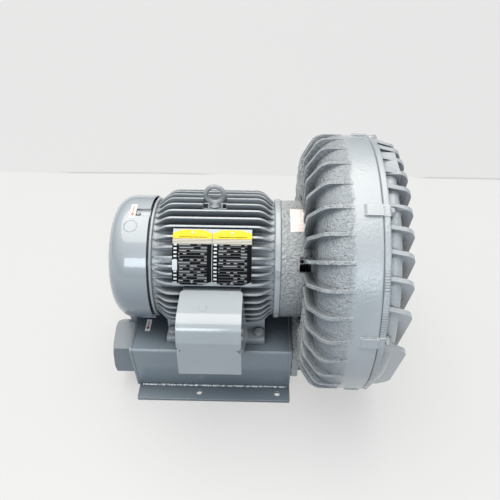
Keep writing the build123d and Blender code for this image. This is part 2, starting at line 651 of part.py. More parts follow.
def side_pin(side, z, radius, start, end):
    """Round bar across the side wall of the terminal box."""
    y = -(BOX_FRONT - LID_LIP - 12)
    pin = along_x(radius, min(side * start, side * end), max(side * start, side * end))
    return Pos(FRAME_MID, y, z) * pin


def make_terminal_base():
    inset = BOX_SHEET + LID_GAP
    half = base_half()
    body = across(box_side(inset), FRAME_MID - half, FRAME_MID + half)
    wall = inset + BOX_SHEET
    room = across([(-(BOX_BACK + BOX_SHEET), BOX_TOP + 5), (-(BOX_FRONT + 5), BOX_TOP + 5),
                   (-(BOX_FRONT + 5), BOX_BOTTOM + wall), (-(BOX_BACK + BOX_SHEET),
                   BOX_BOTTOM + wall)], FRAME_MID - half + BOX_SHEET, FRAME_MID + half - BOX_SHEET)
    bosses = [side_pin(s, z, 5.5, half - BOX_SHEET, half + BOX_BOSS_RISE)
              for s, z in box_screw_places()]
    entry = Pos(FRAME_MID, -(BOX_BACK + BOX_FRONT) / 2, 0) * upright(CONDUIT_R, BOX_BOTTOM - 1,
                                                                    BOX_BOTTOM + wall + 1)
    leads = Pos(FRAME_MID, -BOX_BACK, 0) * Rot(90, 0, 0) * Cylinder(18, 12)
    body = body.fuse(box_flare(), *bosses)
    return lift(body.cut(room, box_flare(BOX_SHEET), entry, leads))


def make_terminal_cover():
    half = BOX_WIDTH / 2
    body = across(box_side(), FRAME_MID - half, FRAME_MID + half)
    plan = outline([(FRAME_MID - half, -BOX_BACK, BOX_CORNER), (FRAME_MID + half, -BOX_BACK,
                    BOX_CORNER), (FRAME_MID + half, -BOX_FRONT), (FRAME_MID - half, -BOX_FRONT)])
    body = body & extrude(Pos(0, 0, BOX_BOTTOM) * plan, BOX_TOP - BOX_BOTTOM)
    room = across(box_side(BOX_SHEET, -1), FRAME_MID - half + BOX_SHEET,
                  FRAME_MID + half - BOX_SHEET)
    behind = box_side(LID_LIP, -1)[:3] + [(-(BOX_FRONT - LID_LIP), BOX_BOTTOM - 1),
                                          (-(BOX_BACK - 1), BOX_BOTTOM - 1)]
    sides = across(behind, FRAME_MID - half - 1, FRAME_MID + half + 1)
    notches = []
    for s in (-1, 1):
        x = FRAME_MID + s * half
        face = outline([(x + s, NOTCH_Z - NOTCH_SIZE), (x + s, NOTCH_Z + NOTCH_SIZE),
                        (x - s * NOTCH_SIZE * 0.9, NOTCH_Z)])
        notches.append(Pos(0, -BOX_FRONT + LID_LIP + 1, 0)
                       * extrude(Plane.XZ * face, LID_LIP + 4))
    return lift(body.cut(room, sides, *notches))


def make_terminal_gasket():
    half = BOX_WIDTH / 2 - 8
    return lift(block((FRAME_MID - half, FRAME_MID + half), (-BOX_BACK, -(BOX_BACK - BOX_GASKET_T)),
                      (BOX_BOTTOM + 8, BOX_TOP - 8)))


def make_terminal_screws():
    """One head on each boss of the side walls."""
    seat = base_half() + BOX_BOSS_RISE
    return [lift(side_pin(s, z, 4.2, seat, seat + 2.5)) for s, z in box_screw_places()]


# ---- plates, eyebolt, bolts ------------------------------------------------------------
def plate_length():
    return (PLATE_PAD_X[1] - PLATE_PAD_X[0] - PLATE_GAP) / 2


def make_rating_plate(side):
    """Bent plate with bowed upper and lower edges, on its pad."""
    inner = FIN_R + 0.5 + 0.02
    near = FRAME_MID + side * PLATE_GAP / 2
    far = near + side * plate_length()
    x = (min(near, far), max(near, far))
    ring = arc_pad((PLATE_PAD_ANGLES[0] + 1, PLATE_PAD_ANGLES[1] - 1), x, inner + PLATE_T, inner)
    mid = radians(sum(PLATE_PAD_ANGLES) / 2)
    reach = inner * sin(radians(PLATE_PAD_ANGLES[1] - PLATE_PAD_ANGLES[0]) / 2) - 1
    bow = 7.0
    tool = outline([(x[0], reach - bow), (sum(x) / 2, reach + bow * 0.9, 40), (x[1], reach - bow),
                    (x[1], bow - reach), (sum(x) / 2, -reach - bow * 0.9, 40),
                    (x[0], bow - reach)])
    tool = extrude(Plane.XY * tool, 300)
    tool = Rot(90 - degrees(mid), 0, 0) * tool
    return lift(ring & tool)


def make_rivets():
    pins = []
    top = FIN_R + 0.5 + 0.02 + PLATE_T
    for side in (-1, 1):
        x = FRAME_MID + side * (PLATE_GAP / 2 + plate_length() / 2)
        for angle in (PLATE_PAD_ANGLES[1] - 3.2, PLATE_PAD_ANGLES[0] + 3.2):
            pins.append(lift(clock(angle, Pos(x, 0, 0) * upright(1.8, top, top + 1.0))))
    return pins


def make_eyebolt():
    seat = FIN_R - 11
    collar = upright(10.5, seat, seat + 6)
    stem = upright(5, seat - 16, seat + 8)
    ring = Pos(0, 0, seat + 6 + 17.5) * Rot(90, 0, 0) * Torus(17.5, 5.5)
    neck = upright(6, seat + 5, seat + 11)
    return lift(Pos(FRAME_MID, 0, 0) * (collar + stem + neck + ring))


def make_motor_bolts():
    top = BOX_TOP_Z + FOOT_T
    bolts = []
    for x, y in motor_bolt_places():
        bolt = Rot(0, -90, 0) * hex_bolt(MOTOR_BOLT_R, FOOT_T + SHEET_T + 12)
        bolts.append(Pos(x, y, top + 1.6) * bolt)
    return bolts


def make_motor_washers():
    top = BOX_TOP_Z + FOOT_T
    return [Pos(x, y, 0) * (upright(2 * MOTOR_BOLT_R + 0.5, top, top + 1.6)
            - upright(MOTOR_BOLT_R + 0.3, top - 1, top + 3)) for x, y in motor_bolt_places()]


def make_motor_nuts():
    """Weld nuts under the top sheet of the silencer."""
    top = BOX_TOP_Z - SHEET_T
    nut = extrude(RegularPolygon(1.75 * MOTOR_BOLT_R, 6, major_radius=False), 8)
    nut -= upright(MOTOR_BOLT_R + SEAT_GAP, -1, 9)
    return [Pos(x, y, top - 8) * nut for x, y in motor_bolt_places()]


# ---- blower head -----------------------------------------------------------------------
def head_fin(angle):
    """Radial fin with a cut corner, standing on the back and the shoulder of the housing."""
    top = RIM_R + HEAD_FIN_RISE
    slope_x, slope_r = HEAD_FIN_SLOPE
    end = FINS_X + HEAD_FIN_LENGTH
    face = outline([(FINS_X, HEAD_FIN_INNER_R, 16), (FINS_X, top - slope_r, HEAD_FIN_BEND_R),
                    (FINS_X + slope_x, top, HEAD_FIN_BEND_R), (end, top), (end, RIM_R - 4),
                    (FINS_X + BACK_WALL_X + BODY_BEND_R, RIM_R - BODY_BEND_R),
                    (FINS_X + BACK_WALL_X + 8, HEAD_FIN_INNER_R)])
    return clock(angle, extrude(Plane.XZ * face, HEAD_FIN_T / 2, both=True))


def lug_angles():
    return [LUG_FIRST + 360 * k / LUGS for k in range(LUGS)]


def lugs(start, end, outer, slope):
    """Square ears on the rim for the cover bolts, with a sloping end towards the fins."""
    root = RIM_R - LUG_ROOT
    face = outline([(end, root), (end, outer), (start, outer), (start - slope, RIM_R - 1),
                    (start - slope, root)])
    ear = extrude(Plane.XZ * face, LUG_WIDTH / 2, both=True)
    return [clock(a, ear) for a in lug_angles()]


def lug_holes(radius, start, end):
    """Bolt holes through the ears, a little longer than they are."""
    hole = Pos(0, 0, LUG_BOLT_PLACE) * along_x(radius, start - 1, end + 1)
    return [clock(a, hole) for a in lug_angles()]


def manifold_outline(inset):
    """Foot of the housing, a little smaller than the end of the silencer box."""
    slope = (BOX_TOP_WIDTH - BOX_FLOOR_WIDTH) / 2 / (BOX_TOP_Z - BASE_PLATE_T)
    top = BOX_TOP_Z - inset
    low = SHAFT_Z - PORT_DROP - DUCT_R - DUCT_WALL
    wide = BOX_TOP_WIDTH / 2 - inset
    narrow = wide - slope * (top - low)
    return [(-narrow, low, 8), (-wide, top, 8), (wide, top, 8), (narrow, low, 8)]


def manifold_bolt_places():
    z = SHAFT_Z - PORT_DROP
    near = PORT_Y - 2 * DUCT_R
    far = PORT_Y + 1.5 * DUCT_R
    return [(s * y, z + rise) for s in (-1, 1)
            for y, rise in ((near, -DUCT_R), (near, DUCT_R), (far, 0))]


def channel(face_x, direction):
    """Half round side channel, open over the top and closed at the stripper."""
    circle = Circle(CHANNEL_SIZE)
    half = circle & Pos(direction * CHANNEL_SIZE / 2, 0) * Rectangle(CHANNEL_SIZE, 2 * CHANNEL_SIZE)
    face = Pos(face_x, 0, CHANNEL_R) * (Plane.XZ * half)
    arc = 360 - STRIPPER_ANGLE
    return Rot(arc / 2, 0, 0) * revolve(face, Axis.X, revolution_arc=-arc)


def make_housing():
    back = FINS_X + BACK_WALL_X
    drum = turned([(back, 0), (back, RIM_R, BODY_BEND_R), (SEAM_X, RIM_R, 3), (SEAM_X, 0)])
    adapter = turned([(MOTOR_FACE_X, 0), (MOTOR_FACE_X, ADAPTER_R, 1), (back + 8, ADAPTER_R),
                      (back + 8, 0)])
    fins = []
    for k in range(HEAD_FINS):
        fins.append(drop(head_fin(HEAD_FIN_FIRST + 360 * k / HEAD_FINS)))
    ears = [drop(ear) for ear in lugs(SEAM_X - LUG_LENGTH, SEAM_X, LUG_R, LUG_SLOPE)]
    ear_holes = [drop(hole) for hole in lug_holes(LUG_BOLT_R + SEAT_GAP,
                                                  SEAM_X - LUG_BOLT_GRIP - 2, SEAM_X)]
    lower = [(y, z - SHAFT_Z) + tuple(r) for y, z, *r in manifold_outline(5.0)]
    flange = across(lower, MANIFOLD_X, FINS_X + 4)
    narrow = [(y, z - SHAFT_Z) + tuple(r) for y, z, *r in manifold_outline(24.0)]
    foot = across(narrow, FINS_X, back + BODY_BEND_R / 2)
    housing = drop(drum).fuse(adapter, *fins, *ears, flange, foot)
    bell = turned([(MOTOR_FACE_X - 1, 0), (MOTOR_FACE_X - 1, SPIGOT_R),
                   (MOTOR_FACE_X + ADAPTER_PLATE_T, SPIGOT_R),
                   (MOTOR_FACE_X + ADAPTER_PLATE_T, ADAPTER_BORE_R, 1.5),
                   (back - 2, ADAPTER_BORE_R, 6), (back - 2, 0)])
    seal_seat = along_x(SEAL_R, back - 3, HUB_BACK - 2)
    hub_room = along_x(HUB_R + 8, HUB_BACK - 3, CAVITY_X + 1)
    cavity = along_x(CAVITY_R, CAVITY_X, SEAM_X + 1)
    ducts = [Pos(0, s * PORT_Y, -PORT_DROP) * along_x(DUCT_R, MANIFOLD_X - 1, CAVITY_X - 10)
             for s in (-1, 1)]
    windows = []
    for angle in (WINDOW_ANGLE, 180 - WINDOW_ANGLE, 180 + WINDOW_ANGLE, -WINDOW_ANGLE):
        start = back - 2 - WINDOW_LENGTH
        cut = block((start, start + WINDOW_LENGTH), (-WINDOW_HEIGHT / 2, WINDOW_HEIGHT / 2),
                    (ADAPTER_BORE_R - 8, ADAPTER_R + 6))
        windows.append(clock(angle, cut))
    face_bolts = [clock(a, Pos(0, 0, FACE_BOLT_R) * along_x(FACE_BOLT_SIZE + HOLE_PLAY,
                  MOTOR_FACE_X - 1, MOTOR_FACE_X + ADAPTER_PLATE_T + 1))
                  for a in (45, 135, 225, 315)]
    taps = [Pos(0, y, z - SHAFT_Z) * along_x(LUG_BOLT_R + SEAT_GAP, MANIFOLD_X - 1, FINS_X)
            for y, z in manifold_bolt_places()]
    return lift(housing.cut(bell, seal_seat, hub_room, cavity, channel(CAVITY_X, -1), *ducts,
                            *windows, *face_bolts, *taps, *ear_holes))


def cover_rib(off):
    """Straight rib across the cover, at a distance from its middle."""
    root, tip = (sqrt((RIM_R - step) ** 2 - (abs(off) + RIB_T / 2) ** 2) for step in RIB_STEP)
    bend = min(RIB_CORNER_R, 0.4 * tip)
    base = COVER_X + COVER_FLANGE_T - 2
    face = outline([(base, -root), (COVER_X + RIB_TOP, -tip, bend),
                    (COVER_X + RIB_TOP, tip, bend), (base, root)])
    rib = extrude(Plane.XZ * face, RIB_T / 2, both=True)
    return Rot(-RIB_LEAN, 0, 0) * Pos(0, -off, 0) * rib


def make_cover():
    plug_r = CAVITY_R - 2 * SEAT_GAP
    disc = turned([(COVER_X, 0), (COVER_X, RIM_R, 3), (COVER_X + COVER_FLANGE_T, RIM_R, 3),
                   (COVER_X + COVER_FLANGE_T, COVER_R, 1.5),
                   (COVER_X + COVER_DEPTH, COVER_R, COVER_CORNER_R), (COVER_X + COVER_DEPTH, 0)])
    plug = along_x(plug_r, COVER_X - PLUG_DEPTH, COVER_X + 1)
    count = int((RIM_R - RIB_STEP[1]) / RIB_PITCH)
    ribs = [cover_rib(k * RIB_PITCH) for k in range(-count, count + 1)]
    ears = lugs(COVER_X, COVER_X + LUG_COVER_T, LUG_R - LUG_STEP, 0)
    ear_holes = lug_holes(LUG_BOLT_R + HOLE_PLAY, COVER_X, COVER_X + LUG_COVER_T)
    pad = clock(PAD_ANGLE, block((COVER_X + 2, COVER_X + PAD_DEPTH),
                                 (-PAD_WIDTH / 2, PAD_WIDTH / 2),
                                 (COVER_R - PAD_WIDTH / 2, COVER_R + PAD_RISE)))
    cover = drop(disc.fuse(*ribs, *ears, pad)).fuse(plug)
    room = along_x(HUB_R + 8, COVER_X - PLUG_DEPTH - 1, HUB_FRONT + 12)
    seat = COVER_X + LUG_COVER_T
    spot = Pos(0, 0, LUG_BOLT_PLACE) * along_x(LUG_SPOT_R, seat, seat + RIB_TOP)
    spots = [drop(clock(a, spot)) for a in lug_angles()]
    return lift(cover.cut(room, channel(COVER_X - PLUG_DEPTH, 1), *spots,
                          *[drop(hole) for hole in ear_holes]))


def make_impeller():
    web = turned([
        (IMPELLER_MID - WEB_T / 2, HUB_R - 4), (IMPELLER_MID - WEB_T / 2, BLADE_ROOT_R - 8),
        (IMPELLER_BACK, BLADE_ROOT_R - 8), (IMPELLER_BACK, BLADE_ROOT_R),
        (IMPELLER_MID - WEB_T / 2, BLADE_ROOT_R + 10, 8), (IMPELLER_MID - WEB_T / 4, IMPELLER_R),
        (IMPELLER_MID + WEB_T / 4, IMPELLER_R), (IMPELLER_MID + WEB_T / 2, BLADE_ROOT_R + 10, 8),
        (IMPELLER_FRONT, BLADE_ROOT_R), (IMPELLER_FRONT, BLADE_ROOT_R - 8),
        (IMPELLER_MID + WEB_T / 2, BLADE_ROOT_R - 8), (IMPELLER_MID + WEB_T / 2, HUB_R - 4)])
    hub = tube_x(HUB_R, SHAFT_TIP_R + RUNNING_FIT, HUB_BACK, HUB_FRONT)
    blades = [clock(360 * k / IMPELLER_BLADES, block((IMPELLER_BACK, IMPELLER_FRONT),
              (-BLADE_T / 2, BLADE_T / 2), (BLADE_ROOT_R - 4, IMPELLER_R)))
              for k in range(IMPELLER_BLADES)]
    keyway = block((HUB_BACK - 1, HUB_FRONT + 1), (-4, 4), (SHAFT_TIP_R - 1, SHAFT_TIP_R + 4))
    return lift(hub.fuse(web, *blades).cut(keyway))


def make_key():
    return lift(block((HUB_BACK + 5.2, HUB_FRONT - 2.2), (-3.9, 3.9),
                      (SHAFT_TIP_R - 3.9, SHAFT_TIP_R + 3.9)))


def make_hub_washer():
    return lift(tube_x(HUB_R * 0.7, 4.5, HUB_FRONT + 0.1, HUB_FRONT + 4.1))


def make_hub_bolt():
    return lift(Pos(HUB_FRONT + 4.2, 0, 0) * hex_bolt(4, HUB_BOLT_LENGTH))


def make_seal():
    start = FINS_X + BACK_WALL_X + 6
    return lift(turned([(start, SEAL_R - SEAT_GAP), (start, SHAFT_NOSE_R + 6),
                        (start + 3, SHAFT_NOSE_R + 4), (start + 5, SHAFT_NOSE_R + RUNNING_FIT),
                        (start + 6, SHAFT_NOSE_R + 5), (start + SEAL_WIDTH, SHAFT_NOSE_R + 7),
                        (start + SEAL_WIDTH, SEAL_R - SEAT_GAP)]))


def make_cover_bolts():
    seat = COVER_X + LUG_COVER_T + 1.6
    bolt = Pos(seat, 0, LUG_BOLT_PLACE) * hex_bolt(LUG_BOLT_R, LUG_COVER_T + LUG_BOLT_GRIP)
    return [lift(drop(clock(a, bolt))) for a in lug_angles()]


def make_cover_washers():
    seat = COVER_X + LUG_COVER_T
    ring = Pos(0, 0, LUG_BOLT_PLACE) * tube_x(2 * LUG_BOLT_R, LUG_BOLT_R + 0.3, seat, seat + 1.6)
    return [lift(drop(clock(a, ring))) for a in lug_angles()]


def make_face_bolts():
    seat = MOTOR_FACE_X + ADAPTER_PLATE_T
    bolt = Pos(seat + 0.05, 0, FACE_BOLT_R) * hex_bolt(FACE_BOLT_SIZE, ADAPTER_PLATE_T + 10)
    return [lift(clock(a, bolt)) for a in (45, 135, 225, 315)]


def make_manifold_gasket():
    ring = across(manifold_outline(7.0), BASE_FRONT, MANIFOLD_X)
    ports = [port_place(s) * along_x(DUCT_R, BASE_FRONT - 1, MANIFOLD_X + 1) for s in (-1, 1)]
    bolts = [Pos(0, y, z) * along_x(LUG_BOLT_R + SEAT_GAP, BASE_FRONT - 1, MANIFOLD_X + 1)
             for y, z in manifold_bolt_places()]
    return ring.cut(*ports, *bolts)


def make_manifold_bolts():
    """Screws from inside the silencer into the foot of the housing."""
    seat = BASE_FRONT - END_PLATE_T
    bolt = Rot(0, 0, 180) * hex_bolt(LUG_BOLT_R, END_PLATE_T + GASKET_T + MANIFOLD_T - 1)
    return [Pos(seat, y, z) * bolt for y, z in manifold_bolt_places()]


# ---- labels ----------------------------------------------------------------------------
def label(angles, x, radius):
    return lift(arc_pad(angles, x, radius + SEAT_GAP + LABEL_T, radius + SEAT_GAP))


def make_port_label(side):
    y = (PORT_Y * 0.95) * side
    x = SILENCER_REAR + 22.7
    return block((x, x + 10), (y - 16, y + 16), (BOX_TOP_Z, BOX_TOP_Z + LABEL_T))


def build():
    front_rings, front_balls = bearing(FRONT_BEARING_D, SHAFT_R, FRONT_BEARING_X, FRONT_BALLS)
    rear_rings, rear_balls = bearing(REAR_BEARING_D, SHAFT_REAR_R, REAR_BEARING_X, REAR_BALLS)
    adapter_label_x = (MOTOR_FACE_X + 16.5, FINS_X + 6)
    arrow_x = (FAN_COVER_END + FAN_COVER_CORNER_R + 1, FAN_COVER_END + FAN_COVER_CORNER_R + 12)
    return {
        "base_plate": make_base_plate(),
        "silencer_shell": make_silencer_shell(),
        "end_plate_rear": make_end_plate_rear(),
        "end_plate_front": make_end_plate_front(),
        "silencer_divider": make_divider(),
        "silencer_liners": make_liners(),
        "weld_beads": make_weld_beads(),
        "outlet_fitting": make_fitting(-1),
        "inlet_fitting": make_fitting(1),
        "motor_frame": make_motor_frame(),
        "drive_end_bracket": make_front_bracket(),
        "rear_end_bracket": make_rear_bracket(),
        "bracket_screws": make_bracket_bolts(),
        "stator_core": make_stator_core(),
        "stator_windings": make_windings(),
        "rotor_core": make_rotor_core(),
        "motor_shaft": make_shaft(),
        "front_bearing_outer": front_rings[0],
        "front_bearing_inner": front_rings[1],
        "front_bearing_balls": front_balls,
        "rear_bearing_outer": rear_rings[0],
        "rear_bearing_inner": rear_rings[1],
        "rear_bearing_balls": rear_balls,
        "cooling_fan": make_cooling_fan(),
        "fan_cover": make_fan_cover(),
        "fan_cover_screws": make_fan_cover_screws(),
        "terminal_box_base": make_terminal_base(),
        "terminal_box_cover": make_terminal_cover(),
        "terminal_box_gasket": make_terminal_gasket(),
        "terminal_box_screws": make_terminal_screws(),
        "rating_plate_rear": make_rating_plate(-1),
        "rating_plate_front": make_rating_plate(1),
        "plate_rivets": make_rivets(),
        "lifting_eyebolt": make_eyebolt(),
        "motor_foot_bolts": make_motor_bolts(),
        "motor_foot_washers": make_motor_washers(),
        "motor_foot_nuts": make_motor_nuts(),
        "blower_housing": make_housing(),
        "housing_cover": make_cover(),
        "impeller": make_impeller(),
        "impeller_key": make_key(),
        "impeller_washer": make_hub_washer(),
        "impeller_bolt": make_hub_bolt(),
        "shaft_seal": make_seal(),
        "cover_bolts": make_cover_bolts(),
        "cover_washers": make_cover_washers(),
        "motor_face_bolts": make_face_bolts(),
        "manifold_gasket": make_manifold_gasket(),
        "manifold_bolts": make_manifold_bolts(),
        "adapter_label": label((64, 92), adapter_label_x, ADAPTER_R),
        "rotation_label": label((74, 91), arrow_x, FAN_COVER_R),
        "outlet_label": make_port_label(-1),
        "inlet_label": make_port_label(1),
    }


os.makedirs("parts", exist_ok=True)
for name, shape in build().items():
    if isinstance(shape, list):
        shape = Compound(children=shape)
    export_step(shape, f"parts/{name}.step")
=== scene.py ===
# %% [markdown]
# # A side channel blower
# This lesson dresses a blower for moving air: an electric motor with cooling fins, a round
# blower head that is cast in aluminium, and a welded silencer box that carries both.
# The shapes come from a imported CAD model, and the lesson adds light, paint and small parts.
# We load the model first, because every later step measures from it.

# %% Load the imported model
import json
from math import cos, degrees, pi, radians, sin

import bpy
from mathutils import Matrix, Vector


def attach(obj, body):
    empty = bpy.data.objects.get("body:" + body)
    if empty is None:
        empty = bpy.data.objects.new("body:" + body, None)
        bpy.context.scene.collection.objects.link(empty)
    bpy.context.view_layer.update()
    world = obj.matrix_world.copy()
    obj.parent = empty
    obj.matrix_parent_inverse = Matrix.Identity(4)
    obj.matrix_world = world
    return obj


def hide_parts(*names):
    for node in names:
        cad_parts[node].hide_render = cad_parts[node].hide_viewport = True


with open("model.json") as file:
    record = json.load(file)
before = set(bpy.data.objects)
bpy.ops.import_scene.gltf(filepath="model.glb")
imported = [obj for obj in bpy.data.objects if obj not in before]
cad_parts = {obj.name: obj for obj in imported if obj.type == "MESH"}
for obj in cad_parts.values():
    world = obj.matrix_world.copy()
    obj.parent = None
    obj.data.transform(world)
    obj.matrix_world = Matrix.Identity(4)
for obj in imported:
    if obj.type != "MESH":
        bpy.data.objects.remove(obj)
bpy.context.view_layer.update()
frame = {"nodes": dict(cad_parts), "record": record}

nodes = frame["nodes"]
slot_of = {part["node"]: part["material_slot"] for part in frame["record"]["subparts"]}
print("nodes:", len(nodes), "slots:", len(set(slot_of.values())))

# %% [markdown]
# ## The camera
# The blower is looked at from the terminal box side and from well above, as by someone who
# stands in front of it. A camera could be aimed with a constraint, but its three angles are
# set directly, so that nothing else in the scene can turn it.

# %% Camera
CAMERA_PLACE = (0.0397, -0.8615, 0.9628)
LOOK_DOWN = radians(38.56)
TURN = radians(1.25)
ROLL = radians(0.18)
FOCAL_LENGTH = 40.19
SENSOR_WIDTH = 36
FARTHEST_SEEN = 100

bpy.ops.object.select_all(action="DESELECT")
bpy.ops.object.camera_add(location=CAMERA_PLACE)
camera = bpy.context.object
camera.data.sensor_width = SENSOR_WIDTH
camera.data.lens = FOCAL_LENGTH
camera.data.clip_end = FARTHEST_SEEN
aim = Matrix.Rotation(TURN, 4, "Z") @ Matrix.Rotation(pi / 2 - LOOK_DOWN, 4, "X")
camera.matrix_world = Matrix.Translation(CAMERA_PLACE) @ aim @ Matrix.Rotation(ROLL, 4, "Z")
bpy.context.scene.camera = camera
bpy.context.scene.view_settings.view_transform = "Standard"
print("camera looks down", round(degrees(LOOK_DOWN), 1), "degrees")

# %% [markdown]
# ## Small helpers for node materials
# A finish is a Principled shader with noise, masks and bumps in front of it. The nodes could be
# wired one by one, but then a finish takes a page. Each helper adds one kind of node and returns
# its output socket instead, so that a finish reads as a short recipe.

# %% Start and end of a finish
def start_finish(name, color, roughness, metallic=0.0, coat=0.0, coat_roughness=0.1):
    """New material: its node tree and its Principled shader."""
    material = bpy.data.materials.new(name)
    material.use_nodes = True
    shader = material.node_tree.nodes["Principled BSDF"]
    shader.inputs["Base Color"].default_value = (*color, 1)
    shader.inputs["Roughness"].default_value = roughness
    shader.inputs["Metallic"].default_value = metallic
    shader.inputs["Coat Weight"].default_value = coat
    shader.inputs["Coat Roughness"].default_value = coat_roughness
    return material, material.node_tree, shader


def lay_on(tree, shader, color, normal, coated=False):
    """Give the shader its colour and bump; a clear coat takes the bump too."""
    tree.links.new(color, shader.inputs["Base Color"])
    tree.links.new(normal, shader.inputs["Normal"])
    if coated:
        tree.links.new(normal, shader.inputs["Coat Normal"])


print("helpers ready: start_finish, lay_on")

# %% [markdown]
# All patterns read Object coordinates. A pattern could also follow an unwrapped UV map, but CAD
# meshes have none, and Object coordinates are in metres, so that a grain has its real size and
# stays on the part when the part turns.

# %% Nodes, places and noise
def add(tree, kind, settings=(), values=(), links=()):
    """New node with settings, input values and linked inputs."""
    node = tree.nodes.new(kind)
    for key, value in dict(settings).items():
        setattr(node, key, value)
    for key, value in dict(values).items():
        node.inputs[key].default_value = value
    for key, socket in dict(links).items():
        tree.links.new(socket, node.inputs[key])
    return node


def place_on_part(tree):
    """Object coordinates in metres, split into x, y and z."""
    coords = add(tree, "ShaderNodeTexCoord")
    return add(tree, "ShaderNodeSeparateXYZ", links={0: coords.outputs["Object"]}).outputs


def grain(tree, scale, detail=2.0, stretch=(1, 1, 1)):
    """Noise from 0 to 1 with about this many lumps per metre."""
    coords = add(tree, "ShaderNodeTexCoord")
    mapping = add(tree, "ShaderNodeMapping", values={"Scale": stretch},
                  links={"Vector": coords.outputs["Object"]})
    texture = add(tree, "ShaderNodeTexNoise", values={"Scale": scale, "Detail": detail},
                  links={"Vector": mapping.outputs["Vector"]})
    return texture.outputs["Fac"]


print("helpers ready: add, place_on_part, grain")

# %% [markdown]
# Sums on places and masks are Math nodes. One helper takes numbers and sockets alike, and
# its commonest operations get short names.

# %% Sums
def calc(tree, operation, first, second=0.0):
    """Math node: each operand is a number or a socket."""
    node = add(tree, "ShaderNodeMath", {"operation": operation})
    for place, operand in enumerate((first, second)):
        if isinstance(operand, (int, float)):
            node.inputs[place].default_value = operand
        else:
            tree.links.new(operand, node.inputs[place])
    return node.outputs[0]


def plus(tree, first, second):
    return calc(tree, "ADD", first, second)


def minus(tree, first, second):
    return calc(tree, "SUBTRACT", first, second)


def larger(tree, first, second):
    return calc(tree, "MAXIMUM", first, second)


def times(tree, first, *others):
    """Product of any number of masks or numbers."""
    for other in others:
        first = calc(tree, "MULTIPLY", first, other)
    return first


print("helpers ready: calc, plus, minus, larger, times")

# %% [markdown]
# A mask is a number from 0 to 1 that says where a layer shows. Masks come from a smooth step
# over a place or a noise, are multiplied where both must hold, and the larger of two is taken
# where either will do. A mix then lays one colour over another through the mask.

# %% Masks and mixes
def between(tree, source, low, high):
    """0 below low, 1 above high, and a smooth step between them."""
    node = add(tree, "ShaderNodeMapRange", {"interpolation_type": "SMOOTHSTEP"},
               {"From Min": low, "From Max": high}, {"Value": source})
    return node.outputs["Result"]


def tint(tree, factor, first, second):
    """Mix of two colours, each a triple or a socket."""
    node = add(tree, "ShaderNodeMix", {"data_type": "RGBA"}, links={0: factor})
    for place, color in ((6, first), (7, second)):
        if isinstance(color, tuple):
            node.inputs[place].default_value = (*color, 1)
        else:
            tree.links.new(color, node.inputs[place])
    return node.outputs[2]


print("helpers ready: between, tint")

# %% [markdown]
# ## The floor
# The blower stands on a plain white floor that is swept up to a joint a little behind it.
# The joint could be the foot of a wall, but a wall would stand in the way when the blower is
# looked at from behind, so there is one wide plane, and the joint is drawn on it.

# %% Floor plane
FLOOR_SIZE = 30
FLOOR_Z = -0.0004

bpy.ops.mesh.primitive_plane_add(size=FLOOR_SIZE, location=(0, 0, FLOOR_Z))
floor = bpy.context.object
floor.name = "studio_floor"
print("floor:", floor.name, FLOOR_SIZE, "m wide")

# %% [markdown]
# The joint is a dark, broken line that wanders a little, as dust lies in it unevenly. It is
# the distance from a line across the floor, faded in and out by two slow noises.

# %% Joint in the floor
JOINT_Y = 0.762
JOINT_BLUR = 0.003
JOINT_CORE, JOINT_REACH = 0.002, 0.008
JOINT_WANDER = 0.03

floor_finish, tree, shader = start_finish("white_floor", (0.30, 0.30, 0.30), 0.6)
y = place_on_part(tree)[1]
line = plus(tree, y, times(tree, grain(tree, 1.1, 1.0), JOINT_WANDER))
behind = between(tree, line, JOINT_Y - JOINT_BLUR, JOINT_Y + JOINT_BLUR)
from_joint = calc(tree, "ABSOLUTE", minus(tree, line, JOINT_Y))
broken = between(tree, grain(tree, 2.2, 2.0, (1, 0.1, 1)), 0.48, 0.56)
dark = times(tree, between(tree, from_joint, JOINT_REACH, JOINT_CORE), broken)
print("joint at", JOINT_Y, "m behind the middle of the blower")

# %% [markdown]
# A white floor under a soft light throws so much light back that the undersides of the machine
# turn pale. More lamps would only make that worse. So the floor has two faces: to the camera,
# and in glossy and clear surfaces, it is pale and glows a little, while light that bounces off
# it meets a darker, bluish floor without the glow. Light Path tells the two apart, and the
# shadow of the machine stays in both.

# %% Floor finish
FLOOR_GLOW = 0.53
BOUNCE_COLOR = (0.19, 0.215, 0.245)

rays = add(tree, "ShaderNodeLightPath").outputs
seen = larger(tree, rays["Is Camera Ray"], rays["Is Glossy Ray"])
seen = larger(tree, seen, rays["Is Transmission Ray"])
color = tint(tree, grain(tree, 1.6, 3.0), (0.160, 0.161, 0.165), (0.172, 0.174, 0.177))
color = tint(tree, behind, color, (0.140, 0.141, 0.144))
color = tint(tree, times(tree, dark, 0.9), color, (0.03, 0.028, 0.02))
color = tint(tree, seen, BOUNCE_COLOR, color)
glow = tint(tree, behind, (1.0, 0.995, 0.975), (0.98, 0.972, 0.965))
tree.links.new(color, shader.inputs["Base Color"])
tree.links.new(glow, shader.inputs["Emission Color"])
tree.links.new(times(tree, seen, FLOOR_GLOW), shader.inputs["Emission Strength"])
floor.data.materials.append(floor_finish)
print("floor finish:", floor_finish.name)

# %% [markdown]
# ## The light
# A workshop with a bright ceiling lights a machine from above, almost without shadows. A huge
# area lamp could be that ceiling, but it would fade towards the edges of the floor. One sun
# lamp with a wide angle is used, because it lights the whole floor evenly.

# %% Ceiling light
CEILING_STRENGTH = 3.35
CEILING_SPREAD = radians(70)
CEILING_TILT = (radians(-8), radians(-6), 0)

bpy.ops.object.light_add(type="SUN", location=(0, 0.4, 3))
ceiling = bpy.context.object
ceiling.name = "ceiling_light"
ceiling.data.energy = CEILING_STRENGTH
ceiling.data.angle = CEILING_SPREAD
ceiling.data.color = (1.0, 0.968, 0.915)
ceiling.rotation_euler = CEILING_TILT
print("lamp:", ceiling.name)

